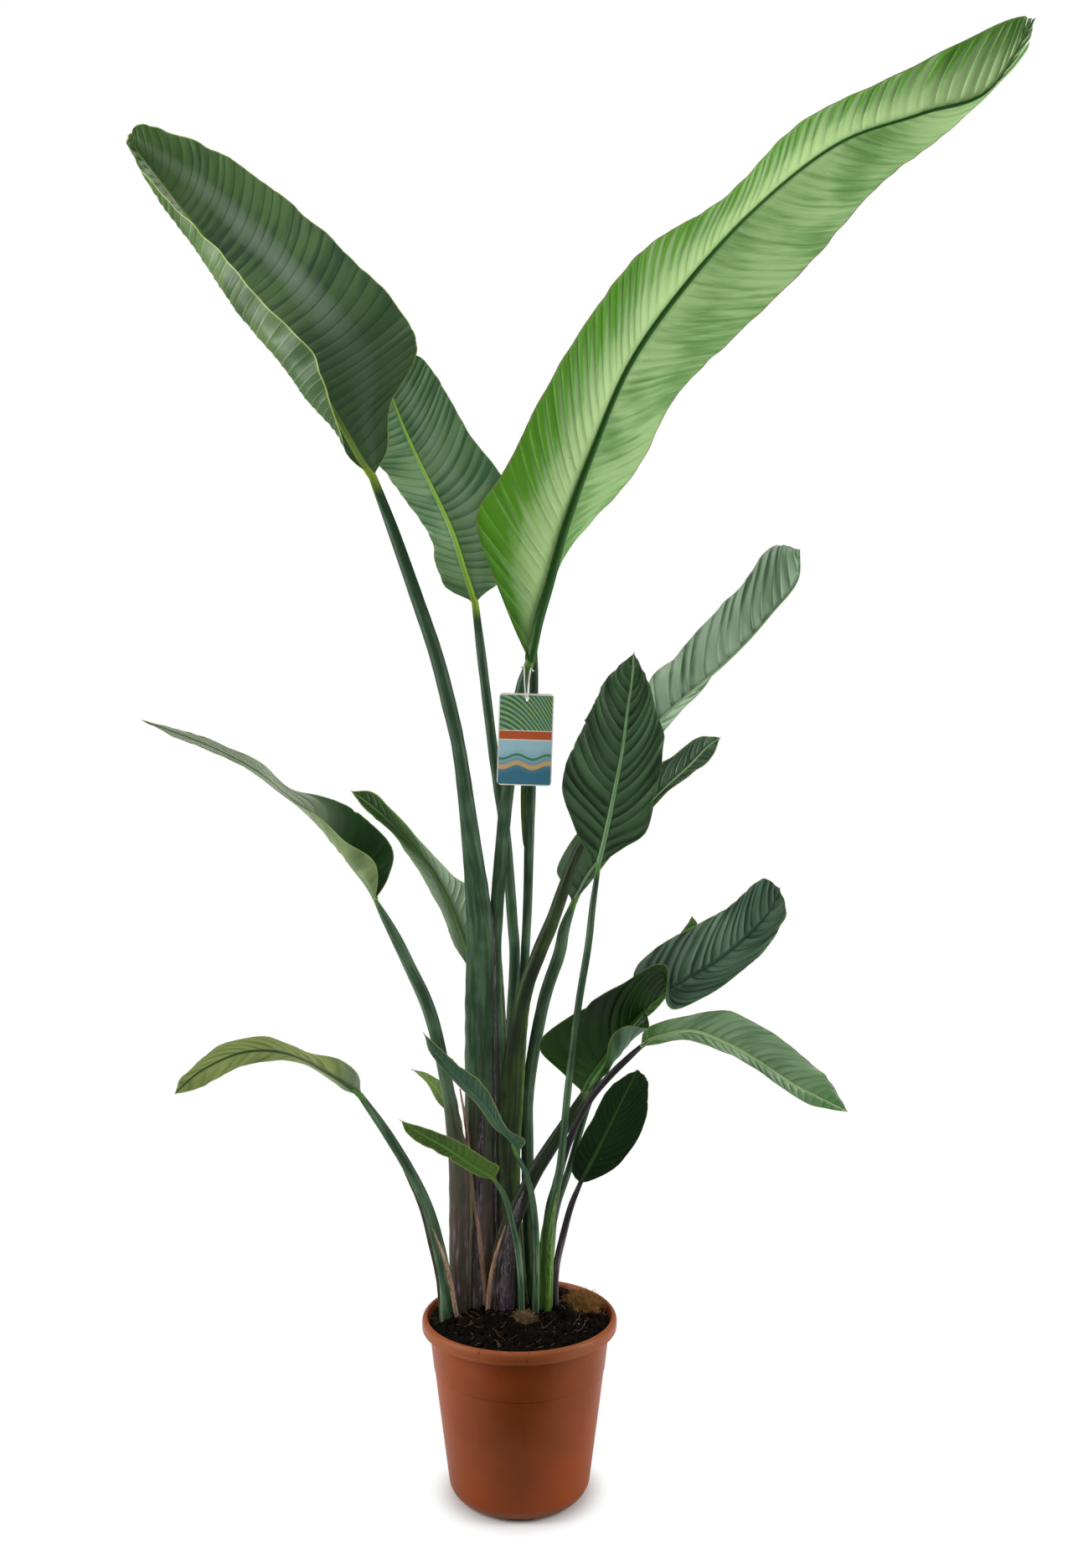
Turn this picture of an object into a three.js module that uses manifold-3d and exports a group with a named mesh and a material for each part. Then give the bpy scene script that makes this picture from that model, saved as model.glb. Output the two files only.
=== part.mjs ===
// A potted bird of paradise plant: seventeen paddle leaves on long stalks, rooted in a
// plastic nursery pot, with a hang tag tied to one stalk.
// Millimetres, +Z up. The origin is the middle of the pot's underside, and -Y is the front.

import * as THREE from 'three';
import { mergeVertices } from 'three/addons/utils/BufferGeometryUtils.js';
import Module from 'manifold-3d';

const wasm = await Module();
wasm.setup();

// ---- driving dimensions ----

const CLEARANCE = 0.35; // between pieces that touch on the real plant

const POT_HEIGHT = 225;
const POT_RIM_RADIUS = 125;
const POT_RIM_BAND = 16; // height of the band round the rim
const POT_WALL_TOP_RADIUS = 115; // outside, just under the band
const POT_WALL_BOTTOM_RADIUS = 89.5;
const POT_FOOT_RADIUS = 74;
const POT_WALL = 2;
const POT_FLOOR = 2.5;
const POT_STEP_HEIGHT = 160; // the faint step round the wall
const POT_SIDES = 40;
const RIM_UNDERSIDE = POT_HEIGHT - POT_RIM_BAND;
const WALL_TOP = RIM_UNDERSIDE - 4; // where the wall flares out to the rim
const WALL_FOOT = 12; // where the wall rises from the rounded foot
const CORNER_RISE = 9; // of the slope inside, from the floor up to the wall
const CORNER_RUN = 10;
const DRAIN_HOLES = 6;
const DRAIN_HOLE_RADIUS = 5;
const DRAIN_RING_RADIUS = 58;

const SOIL_EDGE = 218.5; // height of the soil at the wall
const SOIL_CROWN = 236; // and in the middle, where the stalks stand

const BLADE_THICKNESS = 1.2;
const BLADE_BLUNT = 1.5; // half width where a blade starts and ends
const STALK_SIDES = 8;
const STALK_STEP = 62; // between a stalk's rings
const POCKET_RISE = 8; // how far the pocket of a stalk is cut above the soil's crown

const TAG_WIDTH = 70;
const TAG_HEIGHT = 118;
const TAG_THICKNESS = 0.6;
const TAG_CORNER = 6;
const TAG_HOLE_RADIUS = 3;
const TAG_HOLE_INSET = 7; // from the top edge to the middle of the hole
const TAG_CENTRE = [7.5, -9.4, 962];
const TAG_TILT = THREE.MathUtils.degToRad(1.8);

const STRING_RADIUS = 0.8;
const STRING_STEPS = 44;
const STRING_STALK_RADIUS = 7.3; // of the stalk where the string goes round it
const STRING_KNOT = 0.975; // how far up the stalk that is, from 0 at its root to 1 at its blade
const STRING_START = -122; // degrees round the stalk
const STRING_TURN = 296;
const STRING_LOOP_STEPS = 12;

// ---- the leaves ----
// rib runs from the top of the stalk to the tip. left and right are the margins, seen on the
// upper face with the tip up, at the rib's points between its two ends. curlLeft and curlRight
// bow each half blade: below zero the margin rises towards the upper face.
// A curl is one value, or a list spread from the stalk to the tip.
// stalk runs from its root, 36 below the soil's crown, to the blade, and girth gives its half
// width and half depth there.

const LEAVES = [
  {
    name: 'leaf_upper_left',
    colour: 0x3d5a3c,
    rows: 15,
    columns: 3,
    rib: [
      [-189, 0, 1300], [-203, 0, 1318], [-225, 4, 1357], [-255, 10, 1408], [-295, 20, 1466],
      [-347, 34, 1536], [-406, 50, 1613], [-465, 66, 1689], [-509, 78, 1748], [-530, 84, 1780],
    ],
    left: [
      [-224, -8, 1330], [-232, -23, 1364], [-240, -49, 1395], [-257, -60, 1442], [-320, -48, 1507],
      [-381, -23, 1582], [-461, 17, 1667], [-524, 68, 1755],
    ],
    right: [
      [-171, 10, 1339], [-167, 24, 1402], [-136, 38, 1468], [-151, 52, 1524], [-220, 68, 1604],
      [-312, 80, 1690], [-406, 86, 1758], [-505, 86, 1796],
    ],
    curlLeft: [-0.2, -0.5, -0.75, -0.7, -0.65, -0.5, -0.5, -0.3],
    curlRight: [-0.05],
    stalk: [
      [-48, 2, 200], [-48, 2, 296], [-51, 1, 458], [-51, 0, 620], [-52, 0, 728], [-63, 0, 836],
      [-77, 0, 944], [-91, 0, 1008], [-108, 0, 1073], [-130, 0, 1138], [-162, 0, 1229], [-189, 0, 1300],
    ],
    girth: [
      [18, 9], [18, 9.5], [19, 10], [19, 9], [17, 9], [12, 9],
      [9, 9], [9.5, 9], [9, 9], [8.5, 8.5], [7.5, 7.5], [5.5, 5.5],
    ],
  },
  {
    name: 'leaf_upper_middle',
    colour: 0x4d7a35,
    rows: 12,
    columns: 2,
    rib: [
      [-59, 36, 1143], [-63, 37, 1154], [-75, 40, 1193], [-89, 44, 1236], [-107, 50, 1277],
      [-133, 58, 1331], [-158, 66, 1387], [-177, 76, 1439], [-196, 86, 1498],
    ],
    left: [
      [-97, 40, 1164], [-111, 47, 1193], [-121, 56, 1235], [-147, 63, 1274], [-178, 70, 1317],
      [-204, 76, 1356], [-214, 82, 1420],
    ],
    right: [
      [-45, 38, 1155], [-23, 42, 1176], [-3, 48, 1233], [-20, 57, 1307], [-67, 66, 1373],
      [-103, 72, 1437], [-136, 80, 1481],
    ],
    curlLeft: [-0.08],
    curlRight: [-0.08],
    stalk: [
      [-36, 26, 200], [-30, 30, 308], [-20, 34, 450], [-10, 36, 615], [-7, 36, 681], [-10, 36, 725],
      [-14, 36, 780], [-20, 36, 846], [-28, 36, 901], [-36, 36, 956], [-51, 36, 1077], [-59, 36, 1143],
    ],
    girth: [
      [10, 6], [9, 6], [8, 6], [7, 6], [7, 6], [7, 6],
      [7, 6], [7, 6], [7, 6], [6.5, 6], [6, 6], [4.5, 4.5],
    ],
  },
  {
    name: 'leaf_upper_right',
    colour: 0x5f8a35,
    rows: 17,
    columns: 3,
    rib: [
      [13, 0, 1062], [16, -1, 1075], [24, -4, 1114], [38, -8, 1161], [59, -16, 1235], [90, -28, 1320],
      [137, -42, 1429], [203, -58, 1521], [289, -74, 1613], [390, -86, 1688], [490, -94, 1720],
      [570, -100, 1746], [625, -104, 1831],
    ],
    left: [
      [21, 4, 1090], [34, 14, 1148], [55, 30, 1200], [96, 40, 1252], [154, 36, 1317], [205, 22, 1411],
      [281, 4, 1484], [368, -16, 1565], [453, -39, 1657], [536, -64, 1716], [612, -92, 1788],
    ],
    right: [
      [-8, -8, 1107], [-32, -25, 1166], [-54, -45, 1240], [-18, -57, 1297], [32, -81, 1389],
      [88, -105, 1473], [152, -124, 1546], [245, -136, 1601], [334, -134, 1690], [453, -119, 1756],
      [588, -109, 1826],
    ],
    curlLeft: [-0.08],
    curlRight: [-0.1],
    stalk: [
      [-19, 12, 200], [-22, 13, 314], [-26, 14, 401], [-30, 14, 564], [-33, 14, 683],
      [-31, 12, 727], [-22, 6, 836], [-15, 0, 901], [-7, 0, 960], [2, 0, 1024], [13, 0, 1062],
    ],
    girth: [
      [11, 7], [11, 7], [11, 7], [11, 7], [9.5, 7],
      [9, 7.5], [8.5, 8], [8.5, 8.5], [8.5, 8.5], [8, 8], [6, 6],
    ],
  },
  {
    name: 'leaf_young_spear',
    colour: 0x4f8a30,
    rows: 10,
    columns: 2,
    rib: [
      [18, 60, 1090], [19, 62, 1107], [22, 66, 1152], [31, 72, 1215],
      [47, 80, 1284], [70, 90, 1360], [87, 97, 1413], [96, 100, 1436],
    ],
    left: [
      [27, 58, 1110], [32, 58, 1153], [46, 62, 1214], [65, 70, 1280], [85, 82, 1353], [94, 94, 1408],
    ],
    right: [
      [10, 58, 1110], [10, 58, 1153], [14, 62, 1216], [28, 70, 1289], [54, 82, 1366], [79, 94, 1417],
    ],
    curlLeft: [0.3],
    curlRight: [0.3],
    stalk: [
      [-10, 28, 200], [-10, 38, 284], [-8, 45, 392], [-1, 46, 558], [9, 46, 724],
      [12, 48, 834], [14, 52, 901], [18, 56, 1034], [18, 60, 1090],
    ],
    girth: [[8, 6], [8, 6], [7, 6], [6, 6], [6, 6], [6.5, 6], [7, 6], [6, 6], [4.5, 4.5]],
  },
  {
    name: 'leaf_right_upright',
    colour: 0x2f4a2c,
    rows: 11,
    columns: 3,
    rib: [
      [99, -56, 803], [102, -58, 817], [110, -64, 854], [119, -74, 901],
      [127, -86, 947], [132, -98, 992], [137, -109, 1030], [139, -118, 1063],
    ],
    left: [
      [128, -56, 824], [159, -60, 845], [170, -66, 893], [179, -80, 957], [168, -96, 998], [155, -108, 1034],
    ],
    right: [
      [84, -56, 821], [68, -62, 854], [52, -74, 906], [68, -88, 954], [87, -100, 994], [106, -110, 1032],
    ],
    curlLeft: [-0.08],
    curlRight: [-0.08],
    stalk: [
      [33, -14, 200], [34, -17, 271], [39, -35, 362], [51, -52, 425], [61, -60, 526], [74, -60, 630],
      [86, -59, 703], [92, -58, 755], [99, -56, 803],
    ],
    girth: [
      [9, 5], [9, 5.5], [7.5, 5.5], [5, 4.5], [4.5, 4.5],
      [4.5, 4.5], [4.5, 4.5], [4, 4], [3, 3],
    ],
  },
  {
    name: 'leaf_right_rolled',
    colour: 0x6b8568,
    rows: 11,
    columns: 3,
    rib: [
      [152, -8, 944], [172, -2, 976], [201, 6, 1006], [234, 14, 1034], [268, 22, 1063],
      [301, 32, 1095], [331, 42, 1129], [368, 56, 1174], [375, 74, 1220],
    ],
    left: [
      [183, 22, 969], [211, 34, 1000], [240, 44, 1029], [268, 56, 1071], [299, 66, 1105],
      [329, 76, 1140], [360, 82, 1183],
    ],
    right: [
      [156, 14, 996], [171, 28, 1044], [200, 38, 1069], [229, 46, 1103], [263, 54, 1138],
      [296, 62, 1173], [337, 74, 1224],
    ],
    curlLeft: [-0.1],
    curlRight: [-0.35],
    stalk: [
      [5, -4, 200], [-7, -5, 299], [-15, -6, 407], [-11, -6, 514], [2, -6, 621],
      [24, -4, 686], [42, -4, 729], [74, -4, 815], [116, -6, 888], [152, -8, 944],
    ],
    girth: [
      [11, 7], [12, 7], [13, 7.5], [14, 7.5], [10, 7.5],
      [9.5, 8], [9, 8], [7, 7], [6, 6], [4, 4],
    ],
  },
  {
    name: 'leaf_right_slender',
    colour: 0x5c7a5c,
    rows: 10,
    columns: 2,
    rib: [
      [70, 20, 750], [77, 22, 762], [95, 28, 793], [140, 41, 845], [186, 54, 893], [226, 68, 930],
      [251, 78, 955], [270, 84, 968],
    ],
    left: [
      [85, 18, 769], [104, 22, 790], [150, 36, 846], [196, 52, 894], [236, 68, 922], [260, 77, 943],
    ],
    right: [
      [56, 26, 774], [50, 34, 800], [92, 48, 862], [150, 58, 912], [200, 66, 941], [238, 75, 968],
    ],
    curlLeft: [-0.1],
    curlRight: [-0.1],
    stalk: [
      [14, 14, 200], [12, 15, 314], [10, 16, 433], [11, 16, 509],
      [30, 17, 618], [51, 18, 683], [58, 20, 717], [70, 20, 750],
    ],
    girth: [[8, 6], [8, 6], [8, 6], [8, 6], [8, 6.5], [8, 6.5], [7, 6], [4, 4]],
  },
  {
    name: 'leaf_right_twisted',
    colour: 0x4b6648,
    rows: 26,
    columns: 4,
    rib: [
      [83, -30, 513], [91, -32, 530], [103, -34, 548], [125, -38, 578], [150, -44, 611],
      [175, -52, 637], [203, -62, 660], [245, -78, 689], [282, -92, 724], [304, -100, 751],
      [316, -106, 780],
    ],
    left: [
      [54, -34, 540], [24, -36, 578], [74, -36, 619], [124, -56, 655], [179, -92, 685],
      [186, -74, 628], [236, -82, 648], [292, -94, 694], [324, -103, 745],
    ],
    right: [
      [107, -50, 555], [112, -78, 592], [132, -84, 609], [162, -66, 606], [145, -20, 664],
      [184, -35, 706], [222, -58, 731], [260, -80, 757], [294, -100, 790],
    ],
    curlLeft: [-0.1, -0.1, -0.1, -0.1, -0.1, -0.1, -0.08, -0.08, -0.08],
    curlRight: [-0.4, -0.5, -0.5, -0.4, -0.1, -0.08, -0.08, -0.08, -0.08],
    stalk: [
      [-26, -14, 200], [-21, -17, 282], [-9, -22, 347], [15, -28, 404],
      [38, -30, 443], [62, -30, 479], [83, -30, 513],
    ],
    girth: [[11, 6], [12, 6.5], [11, 7], [9.5, 7], [9, 7.5], [8, 7.5], [5.5, 5.5]],
  },
  {
    name: 'leaf_right_drooping',
    colour: 0x6a8a5c,
    rows: 11,
    columns: 2,
    rib: [
      [156, 4, 566], [176, 6, 577], [222, 12, 585], [270, 20, 567], [317, 30, 539], [362, 38, 509],
      [403, 46, 487], [435, 52, 470],
    ],
    left: [
      [164, 8, 591], [218, 22, 604], [276, 34, 607], [332, 42, 578], [381, 46, 540], [411, 50, 511],
    ],
    right: [
      [182, -4, 571], [213, 2, 575], [258, 8, 560], [296, 18, 541], [344, 30, 506], [383, 40, 482],
    ],
    curlLeft: [0.06],
    curlRight: [0.06],
    stalk: [
      [36, 8, 200], [39, 10, 294], [46, 12, 369], [56, 12, 418], [74, 10, 466],
      [92, 10, 498], [117, 8, 528], [141, 6, 552], [156, 4, 566],
    ],
    girth: [
      [6, 4.5], [6, 4.5], [5.5, 4.5], [5, 4.5], [4.5, 4.5],
      [4.5, 4.5], [4.5, 4.5], [4, 4], [3, 3],
    ],
  },
  {
    name: 'leaf_right_hidden',
    colour: 0x3c5a34,
    rows: 8,
    columns: 2,
    rib: [
      [127, 40, 566], [134, 42, 581], [157, 48, 615], [185, 54, 661], [208, 58, 693], [222, 61, 715],
      [230, 63, 729],
    ],
    left: [[147, 40, 583], [181, 46, 608], [213, 54, 652], [231, 58, 691], [237, 61, 717]],
    right: [[118, 44, 589], [129, 52, 628], [168, 58, 657], [203, 62, 692], [216, 62, 711]],
    curlLeft: [-0.1],
    curlRight: [-0.1],
    stalk: [
      [34, 24, 200], [37, 30, 287], [48, 33, 351], [65, 36, 401],
      [89, 38, 482], [112, 39, 537], [127, 40, 566],
    ],
    girth: [[5, 4], [5, 4], [5, 4.5], [4.5, 4.5], [4.5, 4.5], [4, 4], [3, 3]],
  },
  {
    name: 'leaf_low_right',
    colour: 0x1f3a1c,
    rows: 9,
    columns: 2,
    rib: [
      [78, 0, 391], [84, -2, 403], [99, -6, 433], [115, -14, 468],
      [130, -20, 501], [142, -26, 527], [149, -30, 544],
    ],
    left: [[66, -2, 407], [73, -4, 438], [91, -10, 474], [111, -18, 514], [130, -25, 534]],
    right: [[96, -4, 396], [129, -8, 418], [158, -16, 466], [165, -22, 512], [160, -27, 535]],
    curlLeft: [-0.08],
    curlRight: [-0.08],
    stalk: [[47, -2, 200], [45, -3, 255], [48, -5, 290], [56, -5, 326], [66, -2, 362], [78, 0, 391]],
    girth: [[5, 4.5], [5, 4.5], [4.5, 4.5], [4.5, 4.5], [4, 4], [3, 3]],
  },
  {
    name: 'leaf_left_twisted',
    colour: 0x4f6d4c,
    rows: 16,
    columns: 2,
    rib: [
      [-182, -25, 759], [-194, -26, 779], [-214, -28, 805], [-234, -32, 834], [-261, -38, 863],
      [-292, -46, 892], [-331, -58, 924], [-381, -72, 952], [-422, -84, 969], [-460, -94, 983],
    ],
    left: [
      [-176, -49, 791], [-183, -66, 814], [-215, -68, 834], [-250, -66, 867], [-287, -70, 888],
      [-333, -62, 920], [-379, -70, 944], [-422, -83, 962],
    ],
    right: [
      [-166, -21, 785], [-160, -22, 820], [-185, -24, 854], [-228, -22, 882], [-292, -22, 901],
      [-322, -50, 932], [-379, -74, 960], [-421, -86, 974],
    ],
    curlLeft: [-0.4, -0.5, -0.5, -0.3, -0.1, -0.1, -0.1, -0.1],
    curlRight: [-0.1],
    stalk: [
      [-76, -8, 200], [-76, -11, 301], [-76, -16, 409], [-83, -18, 463], [-93, -22, 528],
      [-113, -25, 614], [-141, -26, 678], [-167, -25, 731], [-182, -25, 759],
    ],
    girth: [
      [14, 8], [14, 8], [14, 8], [10, 8], [8, 7.5],
      [8.5, 8], [7.5, 7.5], [6.5, 6.5], [3.5, 3.5],
    ],
  },
  {
    name: 'leaf_left_inner',
    colour: 0x5d7f55,
    rows: 10,
    columns: 2,
    rib: [
      [-60, 30, 654], [-71, 32, 692], [-92, 36, 746], [-116, 42, 790], [-145, 50, 825],
      [-177, 60, 858], [-205, 68, 881], [-228, 74, 896],
    ],
    left: [
      [-56, 29, 720], [-60, 30, 760], [-88, 34, 787], [-127, 42, 826], [-164, 54, 865],
      [-195, 66, 894],
    ],
    right: [
      [-85, 28, 691], [-101, 28, 733], [-131, 32, 787], [-157, 40, 824], [-187, 52, 855],
      [-211, 64, 875],
    ],
    curlLeft: [0.15],
    curlRight: [0.15],
    stalk: [[-63, 26, 200], [-62, 28, 287], [-60, 30, 396], [-58, 32, 527], [-60, 30, 654]],
    girth: [[7, 5], [7, 5], [6.5, 5.5], [5.5, 5.5], [4, 4]],
  },
  {
    name: 'leaf_left_arching',
    colour: 0x55784a,
    rows: 12,
    columns: 2,
    rib: [
      [-198, -52, 516], [-213, -54, 528], [-234, -58, 542], [-269, -64, 564], [-304, -72, 576],
      [-343, -82, 575], [-382, -94, 559], [-403, -102, 543], [-415, -108, 531],
    ],
    left: [
      [-219, -48, 521], [-235, -46, 533], [-269, -54, 556], [-298, -64, 562], [-337, -76, 558],
      [-371, -90, 543], [-393, -100, 533],
    ],
    right: [
      [-198, -60, 542], [-217, -68, 562], [-257, -76, 575], [-307, -82, 595], [-359, -90, 589],
      [-395, -100, 563], [-410, -105, 547],
    ],
    curlLeft: [-0.12],
    curlRight: [-0.12],
    stalk: [
      [-92, -20, 200], [-94, -26, 274], [-104, -34, 330], [-116, -39, 374],
      [-136, -44, 418], [-167, -49, 471], [-198, -52, 516],
    ],
    girth: [[8, 6], [8, 6.5], [8, 6.5], [7, 6.5], [6.5, 6], [6, 5.5], [4, 4]],
  },
  {
    name: 'leaf_small_crossing',
    colour: 0x33543a,
    rows: 9,
    columns: 2,
    rib: [
      [-3, -54, 443], [-9, -55, 456], [-22, -57, 473], [-39, -58, 500],
      [-60, -60, 523], [-83, -62, 547], [-103, -64, 572], [-119, -66, 598],
    ],
    left: [
      [-14, -53, 463], [-31, -52, 475], [-52, -54, 503], [-71, -56, 525], [-93, -60, 549], [-111, -63, 573],
    ],
    right: [
      [8, -56, 461], [-13, -58, 477], [-32, -60, 515], [-49, -62, 539], [-74, -64, 556], [-97, -65, 578],
    ],
    curlLeft: [-0.1],
    curlRight: [-0.1],
    stalk: [[20, -24, 200], [21, -28, 275], [21, -36, 331], [18, -44, 376], [10, -52, 415], [-3, -54, 443]],
    girth: [[4.5, 3.5], [4.5, 4], [4.5, 4], [4, 4], [3.5, 3.5], [2.6, 2.6]],
  },
  {
    name: 'leaf_small_front',
    colour: 0x3d6b1f,
    rows: 8,
    columns: 2,
    rib: [
      [-31, -60, 414], [-39, -61, 420], [-60, -63, 433], [-87, -67, 453],
      [-115, -71, 470], [-133, -74, 482], [-147, -76, 492],
    ],
    left: [[-48, -60, 417], [-68, -62, 427], [-93, -66, 444], [-120, -70, 459], [-137, -73, 473]],
    right: [[-24, -62, 431], [-41, -64, 441], [-72, -68, 463], [-105, -72, 477], [-127, -75, 485]],
    curlLeft: [-0.1],
    curlRight: [-0.1],
    stalk: [[4, -24, 200], [2, -30, 276], [-2, -38, 321], [-9, -46, 357], [-17, -54, 389], [-31, -60, 414]],
    girth: [[4, 3.5], [4, 3.5], [4, 3.5], [3.5, 3.5], [3.5, 3.5], [2.4, 2.4]],
  },
  {
    name: 'leaf_small_left',
    colour: 0x7d9a5c,
    rows: 6,
    columns: 2,
    rib: [[-85, 0, 475], [-93, 4, 488], [-107, 10, 508], [-123, 18, 523], [-142, 26, 533]],
    left: [[-104, 4, 492], [-112, 8, 504], [-126, 17, 521]],
    right: [[-84, 4, 505], [-98, 10, 518], [-117, 18, 528]],
    curlLeft: [-0.1],
    curlRight: [-0.1],
    stalk: [[-84, 8, 200], [-83, 8, 294], [-84, 6, 381], [-85, 0, 475]],
    girth: [[4, 3.5], [4, 3.5], [3.5, 3.5], [2.4, 2.4]],
  },
];

const HUSK_THICKNESS = 1;
const HUSKS = [
  {
    name: 'dry_husk_left',
    path: [[-78, -24, 222], [-83, -34, 262], [-88, -41, 292], [-95, -45, 318], [-108, -51, 350]],
    halfWidth: [3, 3.5, 3.5, 3, 1],
  },
  {
    name: 'dry_husk_middle',
    path: [
      [-41, -10.5, 222], [-45, -10.5, 270], [-53, -10, 341], [-61, -9, 397], [-68, -9, 469], [-76, -9, 515],
    ],
    halfWidth: [3.5, 4, 4, 3.5, 3, 1],
  },
  {
    name: 'dry_husk_front',
    path: [[-41, -20, 222], [-36, -25, 272], [-28, -30, 310], [-17, -32, 347]],
    halfWidth: [3.5, 4, 3.5, 1],
  },
];

const MOSS_CLUMPS = [
  { name: 'moss_clump_right', centre: [81, 18], radii: [25, 30, 9], colour: 0x7a5424 },
  { name: 'moss_clump_front', centre: [7, -46], radii: [15, 12, 8], colour: 0x6a5a3c },
];

// ---- curves and solids ----

const vector = (p) => new THREE.Vector3(...p);

function curve(points) {
  return new THREE.CatmullRomCurve3(points.map(vector), false, 'catmullrom', 0.5);
}

// A list of numbers, or of pairs, read smoothly between its entries: a number is x, a pair x and y.
function profile(values) {
  const entries = values.length === 1 ? [...values, ...values] : values;
  return curve(entries.map((value) => [value, 0, 0].flat().slice(0, 3)));
}

// A closed body through rings of equal, even point count. Each end is closed by zipping
// the ring's first half to its second half. The second half's quads are split along the other
// diagonal, so that the upper and the lower face of a blade stay parallel where it twists.
function loft(rings) {
  const count = rings[0].length;
  const index = [];
  const quad = (a, b, c, d) => index.push(a, b, c, a, c, d);
  for (let i = 0; i + 1 < rings.length; i += 1) {
    for (let j = 0; j < count; j += 1) {
      const next = (j + 1) % count;
      const corners = [i * count + j, i * count + next, (i + 1) * count + next, (i + 1) * count + j];
      if (j >= count / 2) {
        corners.push(corners.shift());
      }
      quad(...corners);
    }
  }
  const last = (rings.length - 1) * count;
  for (let j = 0; j < count / 2 - 1; j += 1) {
    const across = count - 1 - j;
    quad(across, across - 1, j + 1, j);
    quad(last + j, last + j + 1, last + across - 1, last + across);
  }
  const geometry = new THREE.BufferGeometry();
  const positions = rings.flat().flatMap((point) => point.toArray());
  geometry.setAttribute('position', new THREE.Float32BufferAttribute(positions, 3));
  geometry.setIndex(volume(positions, index) > 0 ? index : index.reverse());
  return geometry;
}

function volume(positions, index) {
  const corner = (k) => new THREE.Vector3().fromArray(positions, 3 * index[k]);
  let sum = 0;
  for (let k = 0; k < index.length; k += 3) {
    sum += corner(k).dot(corner(k + 1).cross(corner(k + 2)));
  }
  return sum / 6;
}

function toSolid(geometry) {
  const bare = geometry.clone();
  bare.deleteAttribute('uv');
  bare.deleteAttribute('normal');
  const merged = mergeVertices(bare, 1e-4);
  const index = merged.index.array;
  const kept = [];
  for (let k = 0; k < index.length; k += 3) {
    const [a, b, c] = index.slice(k, k + 3);
    if (a !== b && b !== c && c !== a) {
      kept.push(a, b, c);
    }
  }
  const vertProperties = new Float32Array(merged.attributes.position.array);
  return new wasm.Manifold(new wasm.Mesh({ numProp: 3, vertProperties, triVerts: new Uint32Array(kept) }));
}

function fromSolid(solid) {
  const mesh = solid.getMesh();
  const geometry = new THREE.BufferGeometry();
  geometry.setAttribute('position', new THREE.BufferAttribute(mesh.vertProperties, 3));
  geometry.setIndex(new THREE.BufferAttribute(mesh.triVerts, 1));
  return geometry;
}

// ---- leaves ----

// One row of a blade's middle surface, from its left margin to its right margin.
function bladeRow(leaf, rails, u) {
  const rib = rails.rib.getPoint(u);
  const along = rails.rib.getTangent(u);
  const inside = THREE.MathUtils.clamp(u, 0.04, 0.96);
  const row = [];
  for (const side of ['left', 'right']) {
    const margin = rails[side].getPoint(u);
    const reach = margin.clone().sub(rib);
    if (reach.length() < BLADE_BLUNT) {
      reach.copy(rails[side].getPoint(inside)).sub(rails.rib.getPoint(inside)).setLength(BLADE_BLUNT);
    }
    const upward = side === 'left' ? along.clone().cross(reach) : reach.clone().cross(along);
    const curl = rails[`${side}Curl`].getPoint(u).x;
    const middle = reach.clone().multiplyScalar(0.5);
    middle.addScaledVector(upward.normalize(), curl * reach.length());
    for (let j = 1; j <= leaf.columns; j += 1) {
      const t = j / leaf.columns;
      const point = rib.clone();
      point.addScaledVector(middle, 2 * t * (1 - t));
      point.addScaledVector(reach, t * t);
      row.push(point);
    }
    if (side === 'left') {
      row.reverse();
      row.push(rib);
    }
  }
  return row;
}

function bladeGeometry(leaf) {
  const { rib, left, right } = leaf;
  const ends = [rib[0], rib[rib.length - 1]];
  const rails = {
    rib: curve(rib),
    left: curve([ends[0], ...left, ends[1]]),
    right: curve([ends[0], ...right, ends[1]]),
    leftCurl: profile(leaf.curlLeft),
    rightCurl: profile(leaf.curlRight),
  };
  const grid = [];
  for (let i = 0; i <= leaf.rows; i += 1) {
    grid.push(bladeRow(leaf, rails, i / leaf.rows));
  }
  const columns = grid[0].length;
  const faces = [1, -1].map((side) => grid.map((row, i) => row.map((point, j) => {
    const before = grid[Math.max(i - 1, 0)][j];
    const after = grid[Math.min(i + 1, leaf.rows)][j];
    const across = row[Math.min(j + 1, columns - 1)].clone().sub(row[Math.max(j - 1, 0)]);
    const normal = across.cross(after.clone().sub(before)).normalize();
    return point.clone().addScaledVector(normal, side * BLADE_THICKNESS / 2);
  })));
  return loft(grid.map((row, i) => [...faces[0][i], ...faces[1][i].slice().reverse()]));
}

// Rings of a stalk or a strip: an oval across its route, widest from side to side.
function sweepRings(path, girth, steps, sides, grow = 0) {
  const route = curve(path);
  const size = profile(girth);
  const rings = [];
  for (let i = 0; i <= steps; i += 1) {
    const centre = route.getPoint(i / steps);
    const along = route.getTangent(i / steps);
    if (i === 0) {
      centre.addScaledVector(along, -grow);
    }
    if (i === steps) {
      centre.addScaledVector(along, -2 * CLEARANCE);
    }
    const depth = new THREE.Vector3(0, 1, 0).addScaledVector(along, -along.y).normalize();
    const wide = depth.clone().cross(along);
    const half = size.getPoint(i / steps);
    const ring = [];
    for (let j = 0; j < sides; j += 1) {
      const angle = (2 * Math.PI * (j + (sides === 4 ? 0.5 : 0))) / sides;
      const point = centre.clone().addScaledVector(wide, (half.x + grow) * Math.cos(angle));
      ring.push(point.addScaledVector(depth, (half.y + grow) * Math.sin(angle)));
    }
    rings.push(ring);
  }
  return rings;
}

const stalkSteps = (leaf) => Math.max(6, Math.round(curve(leaf.stalk).getLength() / STALK_STEP));

function stalkRings(leaf, grow = 0) {
  return sweepRings(leaf.stalk, leaf.girth, stalkSteps(leaf), STALK_SIDES, grow);
}

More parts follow.
